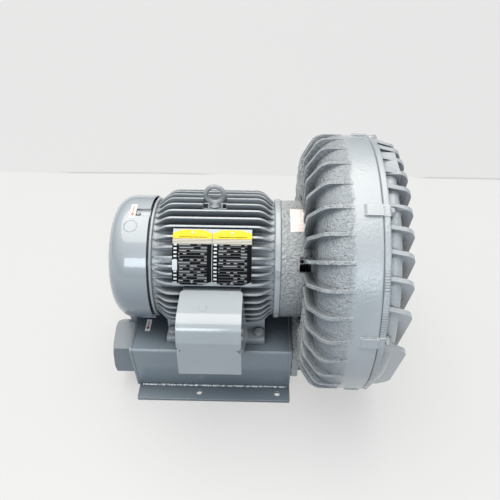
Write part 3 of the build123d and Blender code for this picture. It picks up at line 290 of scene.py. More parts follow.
# %% [markdown]
# Gloss paint only looks glossy when it has something bright and square to mirror. Two pale
# windows in front draw the highlights on the fan cover and the rim. Each is an area lamp
# whose power follows from its size, so that both are equally bright.

# %% Window lights
WINDOWS = ((-0.74, 1.05), (0.74, 0.70))
WINDOW_Y, WINDOW_Z = -2.85, 1.72
WINDOW_HEIGHT = 0.85
WINDOW_RADIANCE = 8.6
WINDOW_AIM = Vector((0, 0, 0.28))

for number, (across, width) in enumerate(WINDOWS):
    place = Vector((across, WINDOW_Y, WINDOW_Z))
    bpy.ops.object.light_add(type="AREA", location=place)
    window = bpy.context.object
    window.name = f"window_light_{number}"
    window.data.shape = "RECTANGLE"
    window.data.size = width
    window.data.size_y = WINDOW_HEIGHT
    window.data.energy = WINDOW_RADIANCE * pi * width * WINDOW_HEIGHT
    window.data.color = (0.84, 0.93, 1.0)
    window.rotation_euler = (place - WINDOW_AIM).to_track_quat("Z", "Y").to_euler()
    print("lamp:", window.name, width, "m wide")

# %% [markdown]
# A room also sends back dim light from its walls. The world gives that: it is bluish and dark
# at the height of the floor and pale overhead, which leaves the sides of the machine darker
# than its top. The camera itself sees one plain tone behind the floor's edge.

# %% Room
room = bpy.data.worlds.new("pale_room")
bpy.context.scene.world = room
room.use_nodes = True
tree = room.node_tree
height = add(tree, "ShaderNodeTexCoord").outputs["Generated"]
height = add(tree, "ShaderNodeSeparateXYZ", links={0: height}).outputs[2]
sky = tint(tree, between(tree, height, 0.05, 0.85), (0.10, 0.145, 0.19), (0.73, 0.745, 0.76))
rays = add(tree, "ShaderNodeLightPath").outputs
sky = tint(tree, rays["Is Camera Ray"], sky, (0.82, 0.81, 0.79))
tree.links.new(sky, tree.nodes["Background"].inputs["Color"])
print("world:", room.name)

# %% [markdown]
# ## Relief, edges and corners
# No painted part is as sharp and even as its CAD model: the paint rounds every edge and wears
# thin there. Real bevels on 53 CAD nodes would take long and could tear their meshes, so the
# shader does it: one node rounds the edges in the light, and the turn of that normal, and the
# open air before a point, give two masks. The first carries worn paint and painted highlights
# along the edges, the second painted shade in corners and gaps.

# %% Relief, edges and corners
def relief(tree, height, depth, normal=None):
    """Bump of a depth in metres, over an earlier bump if one is given."""
    node = add(tree, "ShaderNodeBump", values={"Distance": depth}, links={"Height": height})
    if normal:
        tree.links.new(normal, node.inputs["Normal"])
    return node.outputs["Normal"]


def soft_edges(tree, radius):
    """Normals that round every sharp edge by a radius."""
    return add(tree, "ShaderNodeBevel", {"samples": 6}, {"Radius": radius}).outputs["Normal"]


def nooks(tree, reach):
    """0 in corners and gaps, 1 on open faces: where painted shade goes."""
    node = add(tree, "ShaderNodeAmbientOcclusion", {"samples": 8}, {"Distance": reach})
    return between(tree, node.outputs["AO"], 0.22, 0.88)


def edge_lines(tree, radius):
    """1 along sharp edges, 0 on flat faces: where paint wears thin and where painted highlights
    go.
    """
    flat = add(tree, "ShaderNodeNewGeometry").outputs["Normal"]
    same = add(tree, "ShaderNodeVectorMath", {"operation": "DOT_PRODUCT"},
               links={0: soft_edges(tree, radius), 1: flat}).outputs["Value"]
    return between(tree, minus(tree, 1.0, same), 0.03, 0.22)


print("helpers ready: relief, soft_edges, nooks, edge_lines")

# %% [markdown]
# ## Gloss paint on sheet steel
# The fan cover, the terminal box and the silencer are pressed or folded sheet with a coat of
# glossy grey paint. One flat colour would look like plastic, because real paint is never
# even: it has a fine orange peel, lighter and darker patches and pale specks of dust. Painted
# shade darkens the corners, and thin painted highlights run along the folds. Each of these is
# one layer, painted over the one before.

# %% Gloss grey paint
PAINT = (0.338, 0.370, 0.390)
CORNER_SHADE_COLOR = (0.285, 0.305, 0.32)
HIGHLIGHT_AND_SPECK_COLOR = (0.46, 0.475, 0.485)
LOW_SHADE_COLOR = (0.115, 0.15, 0.19)
LOW_SHADE_TOP, LOW_SHADE_BOTTOM = 0.345, 0.215
FOLD_RADIUS = 0.0016


def gloss_paint(name, color, corners, roughness=0.32, coat=1.0, peel=0.00006, reach=0.03,
                low_shade=0.0):
    """Gloss paint: peel is its bump, reach the size of the painted shade in a corner, and the
    last argument how strongly painted shade darkens it low down.
    """
    material, tree, shader = start_finish(name, color, roughness, coat=coat, coat_roughness=0.05)
    patches = between(tree, grain(tree, 7.0, 3.0), 0.35, 0.7)
    shade = tint(tree, patches, color, tuple(0.92 * c for c in color))
    # Painted shade: corners and gaps take the darker corners colour.
    shade = tint(tree, nooks(tree, reach), corners, shade)
    # Painted highlight: thin pale lines along the folds.
    shade = tint(tree, edge_lines(tree, FOLD_RADIUS), shade, HIGHLIGHT_AND_SPECK_COLOR)
    specks = between(tree, grain(tree, 420, 1.0), 0.74, 0.80)
    shade = tint(tree, times(tree, specks, 0.35), shade, HIGHLIGHT_AND_SPECK_COLOR)
    # Painted shade: the paint is darker towards the bottom, by the last argument.
    height = plus(tree, place_on_part(tree)[2], times(tree, patches, 0.02))
    low = times(tree, between(tree, height, LOW_SHADE_TOP, LOW_SHADE_BOTTOM), low_shade)
    shade = tint(tree, low, shade, LOW_SHADE_COLOR)
    normal = relief(tree, grain(tree, 260, 2.0), peel, soft_edges(tree, FOLD_RADIUS))
    lay_on(tree, shader, shade, normal, coated=True)
    return material


grey_paint = gloss_paint("gloss_grey_paint", PAINT, CORNER_SHADE_COLOR)
print("paint:", grey_paint.name)

# %% [markdown]
# The same recipe is mixed three more times. The lower half of the fan cover is darker, as
# painted shade. The silencer is darker all over, and its painted shade reaches further into its
# wide corners, and the pipe couplings are cast, so that their peel is coarse.

# %% Three more mixes of it
fan_cover_paint = gloss_paint("fan_cover_grey_paint", PAINT, CORNER_SHADE_COLOR, low_shade=0.6)
# Painted shade: the second colour darkens the corners, and the silencer's long reach spreads it
# wide.
silencer_paint = gloss_paint("silencer_grey_paint", (0.205, 0.245, 0.275), (0.055, 0.065, 0.078),
                             roughness=0.36, coat=0.6, peel=0.00012, reach=0.07)
coupling_paint = gloss_paint("coupling_grey_paint", (0.16, 0.185, 0.205), (0.08, 0.09, 0.10),
                             roughness=0.4, coat=0.3, peel=0.00025)
print("paints:", fan_cover_paint.name, silencer_paint.name, coupling_paint.name)

# %% [markdown]
# ## Paint on the motor castings
# The frame and the two end brackets are smooth castings under the same paint. Casting leaves
# soft dents a centimetre apart. The gaps between the fins get painted shade, and the fins'
# edges get painted highlights. The dents could be sculpted, but they are too shallow to change an
# outline, so two layers of bump are enough: a slow one for the dents and a fine one for the paint.

# %% Motor paint
motor_paint, tree, shader = start_finish("motor_casting_paint", PAINT, 0.34, coat=0.8)
patches = between(tree, grain(tree, 16, 4.0), 0.35, 0.7)
shade = tint(tree, patches, (0.39, 0.418, 0.435), (0.335, 0.366, 0.388))
# Painted shade: the gaps between the fins are darkened.
shade = tint(tree, nooks(tree, 0.022), (0.06, 0.073, 0.086), shade)
# Painted highlight: the fins' edges are lightened.
shade = tint(tree, edge_lines(tree, 0.0013), shade, (0.74, 0.75, 0.75))
normal = relief(tree, grain(tree, 110, 3.0), 0.0010, soft_edges(tree, 0.0011))
normal = relief(tree, grain(tree, 380, 2.0), 0.00015, normal)
lay_on(tree, shader, shade, normal, coated=True)
print("paint:", motor_paint.name)

# %% [markdown]
# ## Paint on the rough sand casting
# The blower head is cast in sand. Between its fins the skin shows the sand as small pits and
# grains, while the band between the fins and the cover is dressed smooth. Two materials with a
# border would show a hard line, so there is one material, and a mask along the shaft fades
# the grain out where the band begins. A second mask marks the neck, where no tool reaches.

# %% Zones of the casting
FINS_BACK = 0.1172
ROUGH_END = 0.1895
SEAM_X = 0.2349


def rough_zone(tree, x):
    """1 on the sand skin between the fins, 0 on the dressed band, with a ragged border."""
    ragged = minus(tree, x, times(tree, grain(tree, 38, 3.0), 0.022))
    return between(tree, ragged, ROUGH_END - 0.007, ROUGH_END - 0.017)


def neck_zone(tree, x):
    """1 on the neck behind the fins."""
    return between(tree, x, FINS_BACK + 0.010, FINS_BACK - 0.004)


print("rough skin from", FINS_BACK, "to", ROUGH_END, "m along the shaft")

# %% [markdown]
# The colour follows the skin: the pits hold dirt, and the gaps between the fins get painted
# shade. The seam beside the cover and the neck are left out of that shade, and the neck gets a
# pale painted light.

# %% Colour of the casting
def casting_shade(tree, x, rough, neck, sand):
    """Patchy paint: darker in pits, with painted shade in the gaps, painted light on the neck and
    painted highlights along the edges.
    """
    patches = between(tree, grain(tree, 12, 4.0), 0.35, 0.7)
    shade = tint(tree, patches, (0.375, 0.402, 0.418), (0.335, 0.364, 0.385))
    pits = times(tree, between(tree, sand, 0.49, 0.36), rough, 0.5)
    shade = tint(tree, pits, shade, (0.17, 0.18, 0.185))
    from_seam = calc(tree, "ABSOLUTE", minus(tree, x, SEAM_X))
    # Painted shade: gaps between the fins go dark, but not beside the seam or on the neck.
    unshaded = larger(tree, nooks(tree, 0.06), between(tree, from_seam, 0.008, 0.003))
    unshaded = larger(tree, unshaded, times(tree, neck, 0.95))
    shade = tint(tree, unshaded, (0.05, 0.062, 0.074), shade)
    # Painted light: the neck is made paler.
    shade = tint(tree, times(tree, neck, 0.45), shade, (0.62, 0.63, 0.62))
    # Painted highlight: the edges are lightened.
    return tint(tree, edge_lines(tree, 0.0018), shade, (0.72, 0.73, 0.73))


print("helper ready: casting_shade")

# %% [markdown]
# The relief has two sizes of grain, lumps and sand. Both are centred on 0 before the masks
# scale them, because a mask that lifts the whole surface would draw a step along its border.

# %% Relief of the casting
LUMPS_PER_GRAIN = 1.5


def casting_relief(tree, rough, neck, sand, depth, smooth_share):
    """Lumps and sand: full depth on the rough skin, a share of it on the smooth band."""
    share = plus(tree, times(tree, rough, 1.0 - smooth_share), smooth_share)
    lumps = minus(tree, grain(tree, 190, 2.0), 0.5)
    lumps = times(tree, plus(tree, times(tree, neck, 1.2), 1.0), lumps, share)
    normal = relief(tree, lumps, LUMPS_PER_GRAIN * depth, soft_edges(tree, 0.0018))
    return relief(tree, times(tree, minus(tree, sand, 0.5), share), depth, normal)


def casting_paint(name, depth, smooth_share):
    """Paint over sand skin: material, tree and shader, and the colour and bump to lay on."""
    material, tree, shader = start_finish(name, PAINT, 0.36, coat=1.0, coat_roughness=0.08)
    x = place_on_part(tree)[0]
    rough, neck = rough_zone(tree, x), neck_zone(tree, x)
    sand = grain(tree, 430, 3.0)
    shade = casting_shade(tree, x, rough, neck, sand)
    normal = casting_relief(tree, rough, neck, sand, depth, smooth_share)
    return material, tree, shader, shade, normal


cast_paint, tree, shader, shade, normal = casting_paint("rough_casting_paint", 0.0030, 0.14)
lay_on(tree, shader, shade, normal, coated=True)
print("paint:", cast_paint.name)

# %% [markdown]
# ## The cover's edge
# The outer edge of the cover flange keeps a row of short raised marks from its mould, a few
# millimetres apart. Modelled one by one they would cost thousands of faces and hardly show, so
# a wave that runs with the angle about the shaft gives them as a bump, only on the flange and
# only along its lower half. Noise leaves some of them out, as the mould is worn.

# %% Mould marks on the cover
SHAFT_Z = 0.256
RIM_Z = 0.252
FLANGE_X = (0.2353, 0.2459)
MARKED_ANGLES = (-1.35, 0.80)
MARKS_PER_TURN = 330.0


def angle_about(tree, y, z, axis_z):
    """Angle about an axis along x: 0 on the terminal box side, a quarter turn at the top."""
    return calc(tree, "ARCTAN2", minus(tree, z, axis_z), times(tree, y, -1.0))


def band(tree, source, low, high, blur):
    """1 between low and high, 0 outside, with soft borders inside the band."""
    return times(tree, between(tree, source, low, low + blur),
                 between(tree, source, high, high - blur))


cover_paint, tree, shader, shade, normal = casting_paint("cover_casting_paint", 0.0016, 0.35)
x, y, z = place_on_part(tree)
turn = angle_about(tree, y, z, RIM_Z)
wave = calc(tree, "SINE", times(tree, turn, MARKS_PER_TURN))
patchy = between(tree, grain(tree, 20, 1.0), 0.40, 0.52)
marks = times(tree, between(tree, wave, 0.55, 0.95), patchy,
              band(tree, x, *FLANGE_X, 0.001), band(tree, turn, *MARKED_ANGLES, 0.10))
shade = tint(tree, times(tree, marks, 0.55), shade, (0.12, 0.13, 0.14))
lay_on(tree, shader, shade, relief(tree, marks, 0.0012, normal), coated=True)
print("paint:", cover_paint.name)

# %% [markdown]
# ## Painted hardware
# Bolts, screws and washers were painted with the machine, and a spanner has since chipped
# their corners. The chips could be drawn by hand on each head, but there are dozens of them, so a
# mask along the edges, broken up by noise, turns paint into bare zinc there.

# %% Painted hardware
BARE_ZINC = (0.66, 0.67, 0.68)

hardware, tree, shader = start_finish("painted_hardware", (0.33, 0.345, 0.355), 0.38, coat=0.2)
chips = between(tree, grain(tree, 240, 2.0), 0.36, 0.5)
worn = times(tree, edge_lines(tree, 0.0009), chips)
patches = between(tree, grain(tree, 60, 3.0), 0.4, 0.65)
shade = tint(tree, patches, (0.36, 0.375, 0.385), (0.28, 0.29, 0.30))
# Painted shade: the corners of heads and washers are darkened.
shade = tint(tree, nooks(tree, 0.006), (0.07, 0.075, 0.08), shade)
shade = tint(tree, worn, shade, BARE_ZINC)
tree.links.new(times(tree, worn, 0.85), shader.inputs["Metallic"])
lay_on(tree, shader, shade, relief(tree, grain(tree, 520, 2.0), 0.00012, soft_edges(tree, 0.0007)))
print("hardware:", hardware.name)

# %% [markdown]
# The weld beads were painted too, and their ripples are steep and small, so they glint in
# bright dashes. The same edge mask would need sharp edges, and a ripple has none. A noise
# finer than a ripple lays those glints as pale patches instead, painted highlights, and the
# valleys between the ripples get painted shade.

# %% Paint on the welds
weld_paint, tree, shader = start_finish("weld_paint", (0.5, 0.52, 0.53), 0.3, coat=0.5)
# Painted highlight: pale patches stand for the glints on the ripples.
glint_patches = between(tree, grain(tree, 210, 3.0), 0.40, 0.56)
shade = tint(tree, glint_patches, (0.20, 0.235, 0.26), (0.80, 0.82, 0.83))
# Painted shade: the valleys between the ripples go dark.
shade = tint(tree, nooks(tree, 0.003), (0.05, 0.06, 0.07), shade)
lay_on(tree, shader, shade, relief(tree, grain(tree, 700, 2.0), 0.0004))
print("welds:", weld_paint.name)

# %% [markdown]
# ## Bare metals
# Inside the machine are ground steel, stacked sheets, a machined aluminium impeller and
# varnished copper. Each tool leaves lines in one direction, and an anisotropic shader could show
# them, but it needs a tangent that CAD meshes lack. So a noise is stretched into lines:
# the larger a number in the stretch, the closer the lines are packed along that direction.

# %% Metals
def bare_metal(name, color, roughness, scratch, stretch, depth=0.00003):
    """Metal whose lines change its colour, its gloss and, by a depth, its relief."""
    material, tree, shader = start_finish(name, color, roughness, metallic=1.0)
    lines = grain(tree, scratch, 3.0, stretch)
    shade = tint(tree, lines, tuple(0.8 * c for c in color), color)
    # Painted shade: corners are darkened.
    shade = tint(tree, nooks(tree, 0.01), tuple(0.35 * c for c in color), shade)
    uneven = plus(tree, times(tree, lines, 0.18), roughness - 0.09)
    tree.links.new(uneven, shader.inputs["Roughness"])
    lay_on(tree, shader, shade, relief(tree, lines, depth, soft_edges(tree, 0.0005)))
    return material


bright_steel = bare_metal("ground_steel", (0.62, 0.62, 0.62), 0.28, 90, (8, 1, 1))
laminations = bare_metal("stacked_sheets", (0.30, 0.30, 0.32), 0.45, 60, (40, 1, 1), 0.0002)
plain_sheet = bare_metal("bare_sheet", (0.40, 0.40, 0.42), 0.42, 60, (1, 6, 1))
cast_aluminium = bare_metal("machined_aluminium", (0.66, 0.67, 0.68), 0.34, 120, (6, 1, 1))
copper = bare_metal("varnished_copper", (0.60, 0.30, 0.12), 0.35, 70, (1, 9, 9), 0.0004)
for metal in (bright_steel, laminations, plain_sheet, cast_aluminium, copper):
    print("metal:", metal.name)

# %% [markdown]
# ## Plastic, rubber and foam
# The fan is moulded in black plastic, the gaskets and the seal are rubber, and the silencer
# is lined with open foam. Three recipes could be written, but all three are dull, and what tells
# them apart is the size and depth of their texture: fine for plastic, finer still for rubber,
# and open cells for foam. One recipe with those two numbers makes them all.

# %% Dull materials
def dull(name, color, roughness, cells, depth, sheen=0.0):
    """Dull material: cells is its texture's count per metre, depth the texture's relief."""
    material, tree, shader = start_finish(name, color, roughness)
    shader.inputs["Sheen Weight"].default_value = sheen
    texture = grain(tree, cells, 3.0)
    shade = tint(tree, texture, tuple(0.7 * c for c in color),
                 tuple(min(1.3 * c, 1.0) for c in color))
    # Painted shade: corners are darkened.
    shade = tint(tree, nooks(tree, 0.02), tuple(0.4 * c for c in color), shade)
    lay_on(tree, shader, shade, relief(tree, texture, depth, soft_edges(tree, 0.0006)))
    return material


fan_plastic = dull("black_moulded_plastic", (0.045, 0.045, 0.048), 0.45, 500, 0.00005)
rubber = dull("black_rubber", (0.035, 0.035, 0.036), 0.7, 900, 0.00005, 0.1)
foam = dull("open_foam", (0.17, 0.17, 0.18), 0.95, 420, 0.0012, 0.3)
print("dull materials:", fan_plastic.name, rubber.name, foam.name)

# %% [markdown]
# ## Rating plates
# The two plates are printed metal: a yellow head, a pale strip under it and a black table with
# ruled rows, some of them left bare as bright fields. No words are printed: the rows are blank.
# The print could be a picture on each plate, but it would blur close up. It is drawn with masks
# instead. Each point is placed by the distance along the shaft and by the angle about it, so
# that the print bends round the motor with the sheet.

# %% Place on a plate
PLATE_START = -0.1138
PLATE_PITCH = 0.0708
PLATE_WIDTH = 0.0692
PLATE_ANGLES = (radians(17.5), radians(60.5))

plate_metal, tree, shader = start_finish("printed_plate", (0.4, 0.4, 0.4), 0.6)
shader.inputs["Specular IOR Level"].default_value = 0.08
x, y, z = place_on_part(tree)
along = calc(tree, "DIVIDE", minus(tree, x, PLATE_START), PLATE_PITCH)
which = calc(tree, "FLOOR", along)
across = times(tree, calc(tree, "FRACT", along), PLATE_PITCH / PLATE_WIDTH)
above_foot = minus(tree, angle_about(tree, y, z, SHAFT_Z), PLATE_ANGLES[0])
up = calc(tree, "DIVIDE", above_foot, PLATE_ANGLES[1] - PLATE_ANGLES[0])
print("plates:", PLATE_WIDTH, "m wide")

# %% [markdown]
# A table repeats the same row, so the height on the plate is cut into rows, and the rest after
# the cut is the height in one row. White noise gives each cell a number of its own, and the cells
# with a high number are printed as bright fields. A column of ticks stands beside the table.

# %% Rows and fields of the table
PLATE_ROWS = 19
PLATE_COLUMNS = 11.0
PLATE_TICKS = 15.0


def stripes(tree, source, count, low, high):
    """Stripes that repeat count times per unit: 0 below low in each, 1 above high."""
    return between(tree, calc(tree, "FRACT", times(tree, source, count)), low, high)


row = calc(tree, "FLOOR", times(tree, up, PLATE_ROWS))
in_row = calc(tree, "FRACT", times(tree, up, PLATE_ROWS))
column = calc(tree, "FLOOR", times(tree, across, PLATE_COLUMNS))
seed = add(tree, "ShaderNodeCombineXYZ", links={0: column, 1: row, 2: which}).outputs[0]
dice = add(tree, "ShaderNodeTexWhiteNoise", {"noise_dimensions": "3D"}, links={"Vector": seed})
field = times(tree, between(tree, dice.outputs["Value"], 0.56, 0.58),
              band(tree, in_row, 0.46, 0.86, 0.06), 0.48)
rule = times(tree, between(tree, in_row, 0.16, 0.10), 0.26)
inside = band(tree, across, 0.155, 0.885, 0.005)
ticks = times(tree, stripes(tree, up, PLATE_TICKS, 0.5, 0.56),
              band(tree, across, 0.03, 0.115, 0.005))
table = larger(tree, times(tree, larger(tree, field, rule), inside), ticks)
print("table:", PLATE_ROWS, "blank rows on each plate")

# %% [markdown]
# The colours go on from the bottom up, as a printer lays inks: black with bare metal in the
# table, the pale strip with its fine lines, and the yellow head with one dark line. The
# first plate has one more bare field in its left margin.

# %% Colours of the plate
INK, BARE_PLATE = (0.004, 0.004, 0.005), (0.62, 0.64, 0.65)
STRIP_FOOT, HEAD_FOOT = 0.732, 0.825
STRIP_LINES = 40.0

margin_field = times(tree, band(tree, up, 0.27, 0.455, 0.005),
                     between(tree, plus(tree, across, which), 0.13, 0.125))
table = larger(tree, table, margin_field)
strip = tint(tree, stripes(tree, up, STRIP_LINES, 0.62, 0.70), (0.62, 0.60, 0.52),
             (0.16, 0.13, 0.09))
mottle = between(tree, grain(tree, 160, 2.0), 0.35, 0.7)
head = tint(tree, mottle, (0.74, 0.57, 0.025), (0.80, 0.66, 0.08))
head_line = times(tree, band(tree, up, 0.846, 0.866, 0.004), inside, 0.75)
head = tint(tree, head_line, head, (0.10, 0.07, 0.02))
print_color = tint(tree, table, INK, BARE_PLATE)
print_color = tint(tree, between(tree, up, STRIP_FOOT, STRIP_FOOT + 0.005), print_color, strip)
print_color = tint(tree, between(tree, up, HEAD_FOOT, HEAD_FOOT + 0.005), print_color, head)
lay_on(tree, shader, print_color, relief(tree, table, 0.00008, soft_edges(tree, 0.0004)))
print("plate finish:", plate_metal.name)

# %% [markdown]
# ## White labels
# Three film labels carry an arrow: one shows the way the shaft turns, two mark the pipe ports.
# An arrow could be a thin mesh over the label, but ink has no thickness, so it is drawn: a bar
# and a triangle, both masks of two distances from the middle of the label. Faint grain ages
# the film.

# %% Label film with an arrow
FILM = (0.80, 0.79, 0.76)


def label_film(name, ink, run, side, half_length):
    """Film with an arrow. run: coordinate, middle, metres per unit; side: coordinate, middle."""
    material, tree, shader = start_finish(name, FILM, 0.35, coat=0.25)
    x, y, z = place_on_part(tree)
    places = {"x": x, "y": y, "turn": angle_about(tree, y, z, SHAFT_Z)}
    u = times(tree, minus(tree, places[run[0]], run[1]), run[2])
    v = calc(tree, "ABSOLUTE", minus(tree, places[side[0]], side[1]))
    bar = times(tree, between(tree, v, 0.0011, 0.0008),
                between(tree, calc(tree, "ABSOLUTE", u), half_length, half_length - 0.0005))
    slope = times(tree, minus(tree, half_length + 0.002, u), 0.55)
    head = times(tree, between(tree, minus(tree, v, slope), 0.0002, 0.0),
                 between(tree, u, half_length - 0.0055, half_length - 0.0050))
    aged = tint(tree, grain(tree, 90, 3.0), FILM, tuple(0.88 * c for c in FILM))
    shade = tint(tree, larger(tree, bar, head), aged, ink)
    lay_on(tree, shader, shade, relief(tree, grain(tree, 300, 2.0), 0.00004))
    return material


print("helper ready: label_film")

# %% [markdown]
# The arrow of rotation bends round the fan cover, so it runs with the angle about the shaft,
# and the radius of the cover turns that angle into metres. The two port arrows lie on the flat
# top of the silencer and run straight across the machine.

# %% The three arrow labels
RED_INK, DARK_RED_INK = (0.45, 0.07, 0.04), (0.30, 0.03, 0.03)
COVER_FACE_R = 0.1220
ROTATION_LABEL_ANGLE, ROTATION_LABEL_X = radians(82.5), -0.1943
PORT_LABEL_Y, PORT_LABEL_X = 0.0703, -0.1843
ROTATION_ARROW, PORT_ARROW = 0.0125, 0.0105

rotation_film = label_film("rotation_label_film", RED_INK,
                           ("turn", ROTATION_LABEL_ANGLE, -COVER_FACE_R),
                           ("x", ROTATION_LABEL_X), ROTATION_ARROW)
outlet_film = label_film("outlet_label_film", DARK_RED_INK, ("y", -PORT_LABEL_Y, -1.0),
                         ("x", PORT_LABEL_X), PORT_ARROW)
inlet_film = label_film("inlet_label_film", DARK_RED_INK, ("y", PORT_LABEL_Y, -1.0),
                        ("x", PORT_LABEL_X), PORT_ARROW)
print("labels:", rotation_film.name, outlet_film.name, inlet_film.name)

# %% [markdown]
# A fourth label is wrapped round the neck of the head. It carries faint red lines that run
# along the neck. They are ruled by the angle about the shaft, as the plates are, and a noise
# that is stretched round the neck wears gaps into them.

# %% Ruled neck label
NECK_LABEL_X = (0.0985, 0.1215)
NECK_LINES = 38.0

neck_film, tree, shader = start_finish("neck_label_film", (0.84, 0.80, 0.76), 0.4, coat=0.2)
x, y, z = place_on_part(tree)
ruling = stripes(tree, angle_about(tree, y, z, SHAFT_Z), NECK_LINES, 0.45, 0.55)
gaps = between(tree, grain(tree, 420, 1.0, (1, 0.2, 0.2)), 0.42, 0.52)
ruling = times(tree, ruling, gaps, band(tree, x, *NECK_LABEL_X, 0.0005), 0.5)
shade = tint(tree, ruling, (0.86, 0.83, 0.79), (0.62, 0.25, 0.20))
lay_on(tree, shader, shade, relief(tree, grain(tree, 250, 2.0), 0.00005))
print("label:", neck_film.name)

# %% [markdown]
# ## Dress the CAD pieces
# Each CAD node names a material slot in its record, such as rubber or copper. Every node could
# be dressed by its own line, but a table from slot to finish is shorter and misses none. A few
# nodes that carry a print, mould marks or another mix of paint get their own.

# %% Finish of each node
FINISH_OF_SLOT = {
    "grey_paint": grey_paint, "grey_paint_dark": coupling_paint, "motor_paint": motor_paint,
    "cast_paint": cast_paint, "painted_hardware": hardware, "bright_steel": bright_steel,
    "laminations": laminations, "plain_sheet": plain_sheet, "copper": copper,
    "cast_aluminium": cast_aluminium, "fan_plastic": fan_plastic, "foam": foam,
    "rubber": rubber, "plate_metal": plate_metal, "white_label": neck_film,
}
FINISH_OF_NODE = {
    "housing_cover": cover_paint, "rotation_label": rotation_film, "outlet_label": outlet_film,
    "inlet_label": inlet_film, "plate_rivets": bright_steel, "fan_cover": fan_cover_paint,
    "base_plate": silencer_paint, "silencer_shell": silencer_paint,
    "end_plate_rear": silencer_paint, "end_plate_front": silencer_paint,
}
for name, node in nodes.items():
    node.data.materials.clear()
    node.data.materials.append(FINISH_OF_NODE.get(name, FINISH_OF_SLOT[slot_of[name]]))
print("dressed:", len(nodes), "nodes")

# %% [markdown]
# ## Helpers for new pieces
# Small parts are modelled with Blender's own tools, as by hand. A piece starts as a primitive
# at its place, is shaped in edit mode and then settled: its place goes into its mesh, its
# edges are smoothed by angle, it is hung on the body it rides on, and it is dressed in its
# finish, by default the finish of its slot. An operator acts on all that is selected, so only
# the piece itself is selected first.

# %% Select and settle a piece
SHARP_ANGLE = 35
ROUND_ANGLE = 60


def only(piece):
    """Make one object the selected and active one."""
    bpy.ops.object.select_all(action="DESELECT")
    piece.select_set(True)
    bpy.context.view_layer.objects.active = piece


def settle(piece, name, body, slot, stands_for=(), finish=None, angle=SHARP_ANGLE):
    """Apply the piece's place, smooth it, dress it and hang it on its body's empty."""
    only(piece)
    bpy.ops.object.transform_apply(location=True, rotation=True, scale=True)
    bpy.ops.object.shade_smooth_by_angle(angle=radians(angle))
    piece.name = name
    piece.data.name = name
    piece.data.materials.clear()
    piece.data.materials.append(finish or FINISH_OF_SLOT[slot])
    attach(piece, body)
    if stands_for:
        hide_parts(*stands_for)
    print(name, len(piece.data.polygons), "faces")


print("helpers ready: only, settle")

# %% [markdown]
# ## The lifting eyebolt
# A forged eyebolt is one piece: a ring that swells into a collar. A spun profile could make the
# collar but not the ring, and separate shapes would show sharp joints. So a ring, a neck, a
# collar and a stem are joined first, each at its height over the seat on the motor.

# %% Eyebolt blank
FRAME_MIDDLE_X = -0.0438
EYE_SEAT = 0.3795


def over_seat(rise):
    """Place on the eyebolt's axis, this far over its seat."""
    return (FRAME_MIDDLE_X, 0, EYE_SEAT + rise)


bpy.ops.object.select_all(action="DESELECT")
bpy.ops.mesh.primitive_torus_add(location=over_seat(0.0250), rotation=(pi / 2, 0, 0),
                                 major_radius=0.0167, minor_radius=0.0044,
                                 major_segments=48, minor_segments=16)
ring = bpy.context.object
bpy.ops.mesh.primitive_cone_add(location=over_seat(0.0058), radius1=0.0098, radius2=0.0050,
                                depth=0.0080, vertices=32)
neck = bpy.context.object
bpy.ops.mesh.primitive_cylinder_add(location=over_seat(0.0016), radius=0.0104, depth=0.0034,
                                    vertices=40)
collar = bpy.context.object
bpy.ops.mesh.primitive_cylinder_add(location=over_seat(-0.0060), radius=0.0048, depth=0.0180,
                                    vertices=24)
stem = bpy.context.object
for part in (ring, neck, collar, stem):
    part.select_set(True)
bpy.context.view_layer.objects.active = ring
bpy.ops.object.join()
print("blank:", len(ring.data.polygons), "faces")

# %% [markdown]
# A voxel remesh then wraps one skin round the four shapes, and a smoothing modifier draws the
# joints into fillets, as the forging dies do. A boolean union would keep every joint sharp.

# %% Forge the eyebolt
SKIN_CELL = 0.0008
SMOOTHING, SMOOTHING_PASSES = 0.6, 6

ring.data.remesh_voxel_size = SKIN_CELL
bpy.ops.object.voxel_remesh()
forging = ring.modifiers.new("forging", "SMOOTH")
forging.factor = SMOOTHING
forging.iterations = SMOOTHING_PASSES
bpy.ops.object.modifier_apply(modifier="forging")
settle(ring, "forged_eyebolt", "casing", "painted_hardware", ["lifting_eyebolt"],
       angle=ROUND_ANGLE)

# %% [markdown]
# ## Hexagon bolts
# A bolt head is a hexagon whose corners were turned off on a lathe, which leaves a round flat
# on top. A bevel on the top edge would cut the flats as well as the corners, so it is made as
# on the lathe: a hexagonal bar is cut by a cone with a boolean. The head and its shank are
# modelled upright, and the sizes follow from the radius of the shank.

# %% One bolt
HEAD_HEIGHT = 1.3
HALF_FLATS = 1.75
CONE_FOOT, CONE_TOP = 1.75, 0.82
SHANK_OVERLAP = 0.0002


def hex_bolt(radius, length):
    """Hexagon bolt, upright: the head on z >= 0 and the shank below."""
    height, flats = HEAD_HEIGHT * radius, HALF_FLATS * radius
    middle = (0, 0, height / 2)
    bpy.ops.object.select_all(action="DESELECT")
    bpy.ops.mesh.primitive_cylinder_add(vertices=6, radius=flats / cos(pi / 6), depth=height,
                                        location=middle)
    head = bpy.context.object
    bpy.ops.mesh.primitive_cone_add(vertices=48, radius1=flats * CONE_FOOT,
                                    radius2=flats * CONE_TOP, depth=height, location=middle)
    cone = bpy.context.object
    only(head)
    chamfer = head.modifiers.new("chamfer", "BOOLEAN")
    chamfer.operation = "INTERSECT"
    chamfer.object = cone
    bpy.ops.object.modifier_apply(modifier="chamfer")
    bpy.data.objects.remove(cone)
    bpy.ops.mesh.primitive_cylinder_add(vertices=20, radius=radius, depth=length,
                                        location=(0, 0, SHANK_OVERLAP - length / 2))
    head.select_set(True)
    bpy.context.view_layer.objects.active = head
    bpy.ops.object.join()
    bpy.ops.object.transform_apply(location=True, rotation=True, scale=True)
    return head


print("helper ready: hex_bolt")

